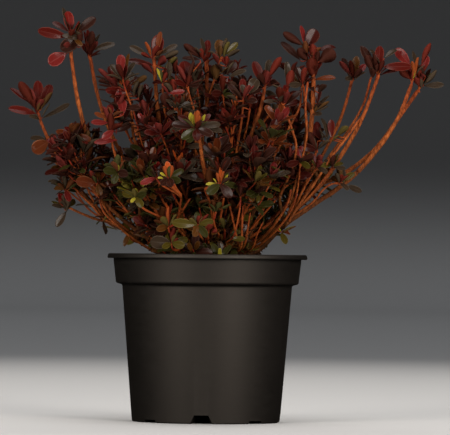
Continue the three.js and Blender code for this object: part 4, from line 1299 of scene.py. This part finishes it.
@dataclass
class Crown:
    """The crown: heads of leaves, the twigs under them and the stems that carry them.

    Attributes:
        seed: Seed of everything that the growing rule deals out.
        layers: Layers of heads from the outside in, each with its least and greatest depth under a
            mass's face, the gap between heads, and how densely places are tried.
        try_area: Area of face for each place that is tried.
        placed_gap: The gap between grown heads and placed ones.
        high_up: The height over which heads stand wider apart.
        leaf_length: Shortest and longest outer leaf.
        leaf_shape: Width of a leaf as a share of its length.
        clear: How far to the side and in height grown heads keep out of a bare stem's view.
        head_view: How far they keep out of a placed head's view.
        twig_radius: Radius of the twigs that carry heads.
        low_tries: Places tried for heads low over the potting mix.
        spur_tries: Places tried along each of the two left boughs.
        low_gap: The gap between these heads and any other.
    """

    seed: int = 7
    layers: tuple = (((10, 16), 14, 1.6), ((24, 33), 17, 1.2), ((37, 46), 20, 1))
    try_area: float = 28
    placed_gap: float = 15
    high_up: float = 318
    leaf_length: Pair = (18, 25)
    leaf_shape: Pair = (0.38, 0.47)
    clear: Pair = (9, 7)
    head_view: float = 16
    twig_radius: float = 0.8
    low_tries: int = 150
    spur_tries: int = 22
    low_gap: float = 12.5
    blades: dict[Tint, Blades] = field(default_factory=dict)
    sprouts: Sprouts = field(default_factory=Sprouts)
    buds: Sprouts = field(default_factory=lambda: Sprouts(rings=6, sides=5))
    bark: Bark = field(default_factory=Bark)

    def __post_init__(self) -> None:
        """Starts the random numbers and notes the stems and heads that show from the front."""
        self.rng = np.random.default_rng(self.seed)
        self.joints: list[tuple[Array, Array, Array]] = []
        bare = ("shoot_top", "shoot_right", "shoot_left")
        shown = [(limb.path(3), 0.12) for limb in LIMBS if limb.node.startswith(bare)]
        shown += [(stem.path(3), stem.hidden) for stem in STEMS if stem.hidden < 1]
        self.bare = np.concatenate([path[int(hidden * len(path)) :] for path, hidden in shown])
        self.shown_heads = np.array([head.at for head in INNER_HEADS], float) + [0, 0, 4]

    # Where twigs can start

    def open_joints(self, path: Array, radii: Pair) -> None:
        """Lets twigs grow from a limb: keeps its points, their directions and its radius there."""
        self.joints.append((path, unit(np.gradient(path, axis=0)), np.linspace(*radii, len(path))))

    def wood(self) -> tuple[Array, Array, Array]:
        """All points that twigs can start from, their limbs' directions and radii."""
        at, ways, sizes = (np.concatenate(column) for column in zip(*self.joints))
        return at, ways, sizes

    def joint_for(self, place: Array, way: Array) -> tuple[Array, Array, float]:
        """The best point for a twig to start from: near, below, and pointing much the same way.

        Args:
            place: The twig's upper end.
            way: The direction that the twig arrives in.

        Returns:
            The joint's place, its limb's direction and the limb's radius.
        """
        at, ways, sizes = self.wood()
        gap = place - at
        distance = np.linalg.norm(gap, axis=1)
        heading = gap / np.maximum(distance, 1e-6)[:, None]
        bend = 1 - (heading * ways).sum(1)
        miss = 1 - heading @ way
        uphill = np.maximum(0, at[:, 2] + 6 - place[2])
        cost = distance * (1 + 0.8 * bend + 0.9 * miss) + 3 * uphill + np.where(distance < 5, 40, 0)
        best = int(np.argmin(cost))
        return at[best], ways[best], float(sizes[best])

    # Heads from the masses

    def mass_faces(self, node: str) -> tuple[Array, Array, Array]:
        """The faces of one of the model's masses: corners in millimetres, directions and areas."""
        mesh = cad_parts[node].data
        co = np.zeros(len(mesh.vertices) * 3, np.float32)
        mesh.vertices.foreach_get("co", co)
        corners = np.zeros(len(mesh.loops), np.int32)
        mesh.loops.foreach_get("vertex_index", corners)
        triangles = co.reshape(-1, 3)[corners].reshape(-1, 3, 3) / METRE
        square = np.cross(triangles[:, 1] - triangles[:, 0], triangles[:, 2] - triangles[:, 0])
        area = np.linalg.norm(square, axis=1) / 2
        keep = area > 1e-6
        return triangles[keep], unit(square[keep]), area[keep]

    def grown_heads(self, placed: list[Head]) -> list[Head]:
        """Heads for every mass: points strewn over its outer faces, drawn in, and thinned to even gaps.

        Of the tufts only the back ones grow heads, because the others' are placed.

        Args:
            placed: Heads that are there already.

        Returns:
            The new heads.
        """
        masses = [name for name in sorted(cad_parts) if name.startswith(("leaves_", "tuft_"))]
        boxes = {name: [np.array(corner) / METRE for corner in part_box(name)] for name in masses}
        taken = [np.array(head.at, float) for head in placed]
        clear = [self.placed_gap] * len(taken)
        heads: list[Head] = []
        for depth, gap, share in self.layers:
            for name in masses:
                half = (boxes[name][1] - boxes[name][0]) / 2
                if not name.startswith(("leaves_", "tuft_back")) or depth[0] > 0.9 * half.min():
                    continue
                triangles, outward, area = self.mass_faces(name)
                count = int(share * area.sum() / self.try_area)
                picks = self.rng.choice(len(area), count, p=area / area.sum())
                blend = self.rng.dirichlet((1, 1, 1), count)
                spots = (triangles[picks] * blend[:, :, None]).sum(1)
                for spot, normal in zip(spots, outward[picks]):
                    head = self.head_at(spot, normal, depth, name, boxes)
                    if head is None:
                        continue
                    place = np.array(head.at)
                    room = gap * (1.25 if place[2] > self.high_up else 1.0)
                    apart = np.linalg.norm(np.array(taken) - place, axis=1)
                    if (apart < np.minimum(room, np.array(clear) + 4)).any():
                        continue
                    taken.append(place)
                    clear.append(room)
                    heads.append(head)
        log.info("grown heads: %d", len(heads))
        return heads

    def head_at(self, spot: Array, normal: Array, depth: Pair, name: str, boxes: dict) -> Head | None:
        """A head under a point of a mass's face, or none where the face meets a neighbour or looks down.

        Args:
            spot: The point of the face.
            normal: The way that the face looks.
            depth: Least and greatest depth under the face.
            name: The mass.
            boxes: Lowest and highest corner of every mass.

        Returns:
            The head, or None.
        """
        outside = spot + 7 * normal
        for other, (low, high) in boxes.items():
            if other == name:
                continue
            inside = (((outside - (low + high) / 2) / ((high - low) / 2)) ** 2).sum()
            if inside < 0.9 and self.rng.random() < 0.9:
                return None
        if normal[2] < -0.6 and self.rng.random() < 0.35:
            return None
        place = spot - self.rng.uniform(*depth) * normal
        if place[2] < self.lower_edge_highlight(place[0]) or self.hides_stem(place) or self.fills_sky(place):
            return None
        away = unit(place - CROWN_FOOT)
        axis = unit(0.45 * normal + 0.75 * UP + 0.35 * away + self.rng.normal(0, 0.16, 3))
        mood = mood_at(place[2], self.rng.normal(0, 0.10))
        size = float(self.rng.uniform(0.85, 1.1)) * (0.92 if depth[0] > 25 else 1.0)
        return Head(tuple(place), tuple(axis), mood=mood, size=size)

    def lower_edge_highlight(self, x: float) -> float:
        """The height of the lowest boughs at a distance to the side: a line that steepens outwards."""
        beside = max(0.0, abs(x - CROWN_FOOT[0]) - 10)
        slope, bend = (0.33, 0.0016) if x < 0 else (0.5, 0.0023)
        return 166 + slope * beside + bend * beside**2

    @staticmethod
    def fills_sky(place: Array) -> bool:
        """Whether leaves at a place would close a gap between shoots that shows sky from the front."""
        return any(left < place[0] < right and low < place[2] < high for left, right, low, high in SKY)

    def hides_stem(self, place: Array) -> bool:
        """Whether leaves at a place would stand before a long stem that shows bare from the front."""
        beside = np.abs(self.bare[:, [0, 2]] - place[[0, 2]])
        ahead = place[1] < self.bare[:, 1] + 4
        before_stem = ahead & (beside[:, 0] < self.clear[0]) & (beside[:, 1] < self.clear[1])
        apart = np.linalg.norm(self.shown_heads[:, [0, 2]] - place[[0, 2]], axis=1)
        before_head = (place[1] < self.shown_heads[:, 1] + 6) & (apart < self.head_view)
        return bool(before_stem.any() or before_head.any())

    def extra_heads(self, placed: list[Head]) -> list[Head]:
        """Low heads over the potting mix, heads along the two left boughs, and those of FILL_PLACES.

        Args:
            placed: Heads that are there already.

        Returns:
            The new heads.
        """
        spots = []
        for _ in range(self.low_tries):
            bearing, reach = self.rng.uniform(0, 2 * np.pi), self.rng.uniform(16, 74)
            spots.append((4 + reach * np.cos(bearing), reach * np.sin(bearing), self.rng.uniform(160, 184)))
        for limb in LIMBS:
            if limb.node in ("bough_left_low", "bough_left_wing"):
                path = limb.path(4)
                for _ in range(self.spur_tries):
                    at = path[int(self.rng.uniform(0.3, 0.85) * len(path))]
                    spots.append(tuple(at + self.rng.uniform((-8, -26, 2), (8, 22, 24))))
        heads = [Head(place, mood=mood_at(place[2]), size=0.9) for place in FILL_PLACES]
        taken = [np.array(head.at, float) for head in (*placed, *heads)]
        for spot in spots:
            place = np.array(spot)
            if place[2] < self.lower_edge_highlight(place[0]) - 7 or self.hides_stem(place):
                continue
            if (np.linalg.norm(np.array(taken) - place, axis=1) < self.low_gap).any():
                continue
            taken.append(place)
            axis = unit(unit(place - CROWN_FOOT) + 0.5 * UP + self.rng.normal(0, 0.2, 3))
            heads.append(Head(tuple(place), tuple(axis), mood=float(self.rng.uniform(0, 0.3)), size=0.82))
        log.info("low heads: %d", len(heads))
        return heads

    # Leaves

    def tints_for(self, mood: float) -> list[Tint]:
        """The colours of a spray's inner and outer leaves, redder the higher it stands in the crown."""
        picked = []
        for mix in next(mixes for least, *mixes in TINTS_BY_MOOD if mood > least):
            weights = np.array(list(mix.values()), float)
            picked.append(list(mix)[self.rng.choice(len(weights), p=weights / weights.sum())])
        return picked

    def leaf(self, tint: Tint, *form: object) -> None:
        """Adds a leaf to the piece of its tint."""
        self.blades.setdefault(tint, Blades()).add(*form)

    def whorl(
        self, at: Array, axis: Array, count: int, lean: Pair, length: float, tint: Tint, curl: float
    ) -> None:
        """A ring of leaves round a twig.

        Args:
            at: The ring's place.
            axis: The twig's direction.
            count: Number of leaves.
            lean: Least and greatest angle between leaf and twig, in degrees.
            length: Length of the leaves.
            tint: Their colour.
            curl: How far they bend back.
        """
        one = square_to(self.rng.normal(0, 1, 3), axis)
        two = np.cross(axis, one)
        start = self.rng.uniform(0, 2 * np.pi)
        for k in range(count):
            turn = start + 2 * np.pi * k / count + self.rng.normal(0, 0.22)
            spoke = np.cos(turn) * one + np.sin(turn) * two
            angle = np.radians(self.rng.uniform(*lean))
            reach = length * self.rng.uniform(0.82, 1.12)
            way = np.cos(angle) * axis + np.sin(angle) * spoke
            face = np.sin(angle) * axis - np.cos(angle) * spoke + self.rng.normal(0, 0.14, 3)
            base = at + 0.8 * spoke - axis * self.rng.uniform(0, 2.5)
            width = reach * self.rng.uniform(*self.leaf_shape)
            bend, twist = curl + self.rng.normal(0, 0.15), self.rng.normal(0, 0.25)
            self.leaf(tint, base, base + reach * way, face, width, bend, twist)

    def stalk(self, base: Array, way: Array) -> None:
        """Joins a leaf that stands off its stem by a short stalk, from the wood a little below its base."""
        at, ways, _ = self.wood()
        low = at - [0, 0, 1.5] - base
        near = int(np.argmin(np.linalg.norm(low, axis=1) + 1.5 * np.maximum(0, low[:, 2])))
        if 1.5 < np.linalg.norm(at[near] - base) < 34:
            self.buds.add(at[near], ways[near] + way, base + 0.5 * way, way, (0.75, 0.5), (0.8, 1.0))

    def bud(self, at: Array, axis: Array, size: float) -> None:
        """The pointed bud in the middle of a head."""
        lean = unit(axis + self.rng.normal(0, 0.12, 3))
        self.buds.add(at - 2.5 * axis, axis, at + 6.0 * size * lean, lean, (1.35 * size, 0.35), (0.9, 1.0))

    def dress(self, head: Head) -> None:
        """Gives a head its leaves: placed ones as they stand, or an inner cup and an outer ring."""
        at, axis = np.array(head.at, float), np.array(head.axis, float)
        if not head.hanging:
            self.bud(at, unit(axis), 1.0 if head.leaves else 0.8)
        if head.leaves:
            for leaf in head.leaves:
                base, tip, face, width = spread(at, leaf, self.rng)
                self.leaf(leaf.tint, base, tip, face, 1.1 * width, leaf.curl, self.rng.normal(0, 0.12))
                self.stalk(base, unit(tip - base))
            self.fill(at, unit(axis), head.leaves)
            return
        inner, outer = self.tints_for(head.mood)
        longest = self.rng.uniform(*self.leaf_length) * head.size
        self.whorl(at + axis, axis, int(self.rng.integers(2, 5)), (8, 30), 0.74 * longest, inner, -0.1)
        self.whorl(at - axis, axis, int(self.rng.integers(4, 7)), (42, 82), longest, outer, 0.45)
        if self.rng.random() < 0.4:
            lower = at - axis * self.rng.uniform(9, 15)
            self.whorl(lower, axis, int(self.rng.integers(2, 4)), (58, 100), 0.85 * longest, outer, 0.5)

    def fill(self, at: Array, axis: Array, leaves: tuple[Leaf, ...]) -> None:
        """Adds a shorter leaf at each placed one's foot, turned any way, so that a head is full all round."""
        for leaf in leaves:
            if leaf.tint in (LIME, ORANGE):
                continue
            foot = at + [0.7 * leaf.base_right, 0, 0.7 * leaf.base_up]
            self.whorl(foot, axis, 1, (12, 72), self.rng.uniform(13, 18), leaf.tint, 0.2)

    def side_leaves(self, start: Array, end: Array) -> None:
        """A few single leaves along a twig, in the dull colours of older leaves."""
        axis, mood = unit(end - start), mood_at(end[2])
        for _ in range(int(self.rng.integers(1, 5))):
            at = start + self.rng.uniform(0.35, 0.85) * (end - start)
            self.whorl(at, axis, 1, (45, 95), self.rng.uniform(13, 19), self.tints_for(mood)[1], 0.4)

    # Twigs

    def fork(self, tops: list[tuple[Array, Array, float]], step: Pair, reach: float) -> list:
        """Gathers twigs that end near one another into forks, one step further down.

        Each twig's lower end is its place drawn back along its own direction and towards the
        crown's foot. Up to five neighbouring ends share a fork at their mean, whose radius to the
        power 2.6 is the sum of theirs.

        Args:
            tops: Place, direction and radius of each twig's upper end.
            step: Least and greatest length of a twig.
            reach: How far apart lower ends may be and still share a fork.

        Returns:
            The forks' places, directions and radii.
        """
        places, ways, radii = (np.array(column) for column in zip(*tops))
        home = unit(places - CROWN_FOOT)
        length = self.rng.uniform(*step, len(tops))[:, None]
        distance = np.linalg.norm(places - CROWN_FOOT, axis=1, keepdims=True)
        feet = places - np.minimum(length, 0.6 * distance) * unit(0.45 * ways + 0.65 * home)
        left = np.ones(len(tops), bool)
        forks = []
        for k in np.argsort(-places[:, 2]):
            if not left[k]:
                continue
            gaps = np.where(left, np.linalg.norm(feet - feet[k], axis=1), np.inf)
            chosen = [j for j in np.argsort(gaps)[: int(self.rng.integers(3, 6))] if gaps[j] < reach]
            left[chosen] = False
            place = feet[chosen].mean(0)
            upward = 0.5 * unit(places[chosen].mean(0) - place) + 0.5 * unit(place - CROWN_FOOT)
            way = unit(upward + 0.2 * UP)
            thick = float((radii[chosen] ** 2.6).sum() ** (1 / 2.6))
            for j in chosen:
                if radii[j] <= self.twig_radius:
                    self.side_leaves(place, places[j])
                age = 1.0 - 0.25 * (radii[j] - self.twig_radius)
                thickness = (max(radii[j] * 1.15, 0.7 * thick), radii[j])
                self.sprouts.add(place, way, places[j], ways[j], thickness, (age - 0.2, age))
            forks.append((place, way, min(thick, 1.8)))
        return forks

    def join(self, place: Array, way: Array, radius: float, age: float) -> None:
        """Grows one stretch from the best joint of the wood below up to a place."""
        start, heading, thick = self.joint_for(place, way)
        leave = unit(heading + 0.7 * unit(place - start))
        thickness = (min(radius * 1.25, thick), radius)
        self.sprouts.add(start, leave, place, way, thickness, (max(age - 0.35, 0.1), age))

    def build_wood(self) -> None:
        """Makes the stem base, every limb and the long stems, and lets twigs grow from them."""
        bark, base = BarkFinish().material(), StemBase()
        base.surface().piece("stem_base_bark", [bark], "old_bark", ["stem_base"])
        for k, limb in enumerate(LIMBS):
            path = limb.path(self.bark.spacing)
            skin = self.bark.limb(path, limb.radii, limb.ages, k)
            skin.piece(f"bark_{limb.node}", [bark], slot_of(limb.node), [limb.node])
            self.open_joints(path, limb.radii)
        rise = np.linspace(base.foot + 8, base.top - 3, 6)[:, None]
        self.open_joints(np.array([[base.x, base.y, 0.0]]) + rise * UP, (base.neck_radius * 0.5,) * 2)
        skins = []
        for k, stem in enumerate(STEMS, 60):
            path = stem.path(self.bark.spacing)
            ages = (0.5 if stem.radii[0] < 1.75 else 0.3, 1.0)
            skins.append(self.bark.limb(path, tuple(0.88 * r for r in stem.radii), ages, k))
            self.join(path[0], unit(path[1] - path[0]), stem.radii[0], 0.5)
        Surface.joined(skins).piece("bark_inner_stems", [bark], "young_bark", [])
        for limb in LIMBS:
            if limb.node.startswith(("shoot_", "bough_right_second")):
                path = limb.path(self.bark.spacing)
                self.join(path[0], unit(path[1] - path[0]), limb.radii[0], limb.ages[0])
        for stem in STEMS:
            self.open_joints(stem.path(self.bark.spacing), stem.radii)

    def build(self) -> None:
        """Makes the wood, deals out the heads, grows the twigs down to the wood and hangs the leaves."""
        self.build_wood()
        placed = [*OUTLINE_HEADS, *INNER_HEADS]
        grown = self.grown_heads(placed)
        grown += self.extra_heads([*placed, *grown])
        for head in (*placed, *grown):
            self.dress(head)
        for head in INNER_HEADS:
            if not head.hanging:
                self.join(np.array(head.at, float), unit(np.array(head.axis, float)), 0.95, 1.0)
        carried = [(np.array(h.at, float), unit(np.array(h.axis, float)), self.twig_radius) for h in grown]
        first = self.fork(carried, (22, 40), 19)
        second = self.fork(first, (30, 48), 26)
        for place, way, radius in second:
            self.join(place, way, min(radius, 1.9), 0.45)
        for name, twigs in (("twigs", self.sprouts), ("buds_and_leaf_stalks", self.buds)):
            finishes = [PlainFinish(f"twig_{age}", linear(*c)).material() for age, c in TWIG_COLOURS.items()]
            twigs.surface().piece(name, finishes, "young_bark", [])
        self.hang()

    def hang(self) -> None:
        """Makes one piece of leaves for each tint, of which the first of each slot stands for its masses."""
        by_slot: dict[str, list[str]] = {}
        for node in sorted(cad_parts):
            if node.startswith(("leaves_", "tuft_")):
                by_slot.setdefault(slot_of(node), []).append(node)
        for tint in Tint:
            if tint not in self.blades:
                continue
            *colours, slot = tint.value
            blade, edge_highlight, under = (linear(*colour) for colour in colours)
            name = f"leaves_{tint.name.lower()}"
            # The edge wears a painted highlight for light caught by the margin's hairs; the rib is a paler
            # midrib that takes a share of that painted highlight.
            rib = tuple(0.72 * one + 0.28 * other for one, other in zip(blade, edge_highlight))
            looks = (
                ("blade", blade, 0.24, 0.16), ("rib", rib, 0.5, 0.16), ("edge_highlight", edge_highlight, 0.5, 0.16),
                ("underside", under, 0.6, 0.05),
            )
            finishes = [PlainFinish(f"{name}_{part}", *look).material() for part, *look in looks]
            self.blades[tint].surface().piece(name, finishes, slot, by_slot.pop(slot, []))


def slot_of(node: str) -> str:
    """The record's material slot of one of the model's nodes, which its name tells."""
    if node.startswith("tuft_"):
        return "red_leaves"
    if node.startswith(("leaves_low", "leaves_middle", "leaves_upper")):
        return "green_leaves"
    if node.startswith("leaves_"):
        return "bronze_leaves"
    young = node.startswith("shoot_") or node in ("bough_left_lowest", "bough_right_second")
    return "young_bark" if young else "old_bark"


# The studio


@dataclass(frozen=True)
class Studio:
    """A pale floor that curves up into a grey wall all round, five broad soft lights, and the camera."""

    camera_place: Point = (0.0171, -4.6, 0.168)
    camera_target: Point = (0.0171, 0.0, 0.2042)
    camera_roll: float = -0.6
    camera_lens: float = 368
    wall_radius: float = 12
    bend_radius: float = 3
    wall_height: float = 6
    floor_grey: float = 0.6
    wall_grey: float = 0.16
    fade_height: float = 0.5
    sky_strength: float = 0.28
    light_spread: float = 110
    light_target: Point = (0.0, 0.0, 0.22)
    warm: Colour = (1.0, 0.93, 0.86)
    back_warm: Colour = (1.0, 0.95, 0.89)

    def floor(self) -> None:
        """The floor and wall: a profile that runs out flat, bends through a quarter circle and rises."""
        turn = np.linspace(0, np.pi / 2, 16)
        flat = self.wall_radius - self.bend_radius
        out = np.concatenate([[0.0, 0.6, 2, 5], flat + self.bend_radius * np.sin(turn), [self.wall_radius]])
        up = np.concatenate([np.zeros(4), self.bend_radius * (1 - np.cos(turn)), [self.wall_height]])
        bearing = np.linspace(0, 2 * np.pi, 96, endpoint=False)
        x, y = (out[1:, None] * f(bearing)[None, :] for f in (np.cos, np.sin))
        grid = np.stack([x, y, np.repeat(up[1:, None], len(bearing), axis=1)], axis=-1)
        points = np.concatenate([grid.reshape(-1, 3), [[0, 0, 0]]])
        quads, middle, _ = ring_faces(len(grid), len(bearing))
        faces = quads[:, [0, 3, 2, 1]].tolist() + middle[:, [1, 0, 2]].tolist()
        mesh = bpy.data.meshes.new("studio_floor")
        mesh.from_pydata(points.tolist(), [], faces)
        mesh.polygons.foreach_set("use_smooth", np.ones(len(mesh.polygons), bool))
        floor = bpy.data.objects.new("studio_floor", mesh)
        bpy.context.scene.collection.objects.link(floor)
        sheet = NodeSheet.named("pale_floor", 0.9, 0.1)
        greys = [(0.0, (self.floor_grey,) * 3), (1.0, (self.wall_grey,) * 3)]
        height = sheet.node("SeparateXYZ", "Z", {"Vector": sheet.place()})
        rise = sheet.range(height, (0, 1), (0, self.fade_height), "SMOOTHSTEP")
        sheet.feed("Base Color", sheet.ramp(rise, greys))
        mesh.materials.append(sheet.material)
        floor.visible_glossy = False

    def light(
        self, name: str, place: Point, size: Pair, power: float, colour: Colour, glossy: bool = True
    ) -> None:
        """A broad soft light aimed at the middle of the plant, which gloss may be kept from showing."""
        data = bpy.data.lights.new(name, "AREA")
        data.spread = np.radians(self.light_spread)
        data.shape = "RECTANGLE"
        data.size, data.size_y = size
        data.energy = power
        data.color = colour
        light = self.placed(name, data, place)
        aim = Vector(self.light_target) - light.location
        light.rotation_euler = aim.to_track_quat("-Z", "Y").to_euler()
        light.visible_camera = False
        light.visible_glossy = glossy

    @staticmethod
    def placed(name: str, data: bpy.types.ID, place: Point) -> bpy.types.Object:
        """A new light or camera at its place in the scene."""
        thing = bpy.data.objects.new(name, data)
        thing.location = place
        bpy.context.scene.collection.objects.link(thing)
        return thing

    def build(self) -> None:
        """Makes the floor, the lights, the pale surroundings and the camera."""
        self.floor()
        self.light("soft_light_left", (-1.32, -1.63, 0.8), (0.75, 1.3), 10.6, self.warm)
        self.light("soft_light_right", (1.25, -1.68, 0.8), (0.75, 1.3), 12.4, self.warm)
        self.light("soft_light_above", (0.1, -0.2, 1.9), (1.2, 1.0), 4.0, (1.0, 0.98, 0.96))
        self.light("soft_light_back_left", (-1.0, 2.1, 1.7), (2.4, 2.0), 11.0, self.back_warm, False)
        self.light("soft_light_back_right", (1.0, 2.1, 1.7), (2.4, 2.0), 11.0, self.back_warm, False)
        bpy.context.scene.view_settings.view_transform = "Standard"
        world = bpy.data.worlds.new("pale_surroundings")
        world.use_nodes = True
        sky = world.node_tree.nodes["Background"].inputs
        sky["Color"].default_value = (0.95, 0.97, 1.0, 1)
        sky["Strength"].default_value = self.sky_strength
        bpy.context.scene.world = world
        world.cycles_visibility.glossy = False
        data = bpy.data.cameras.new("camera")
        data.lens = self.camera_lens
        data.clip_end = 60
        camera = self.placed("camera", data, self.camera_place)
        aim = Vector(self.camera_target) - camera.location
        roll = Matrix.Rotation(np.radians(self.camera_roll), 4, aim).to_quaternion()
        camera.rotation_mode = "QUATERNION"
        camera.rotation_quaternion = roll @ aim.to_track_quat("-Z", "Y")
        bpy.context.scene.camera = camera


def main() -> None:
    """Builds the studio, the pot and the plant, in that order, and notes how big the result is."""
    logging.basicConfig(level=logging.INFO, format="%(message)s", stream=sys.stdout)
    Studio().build()
    NurseryPot().build()
    PottingMix().build()
    Crown().build()


if __name__ == "__main__":
    main()
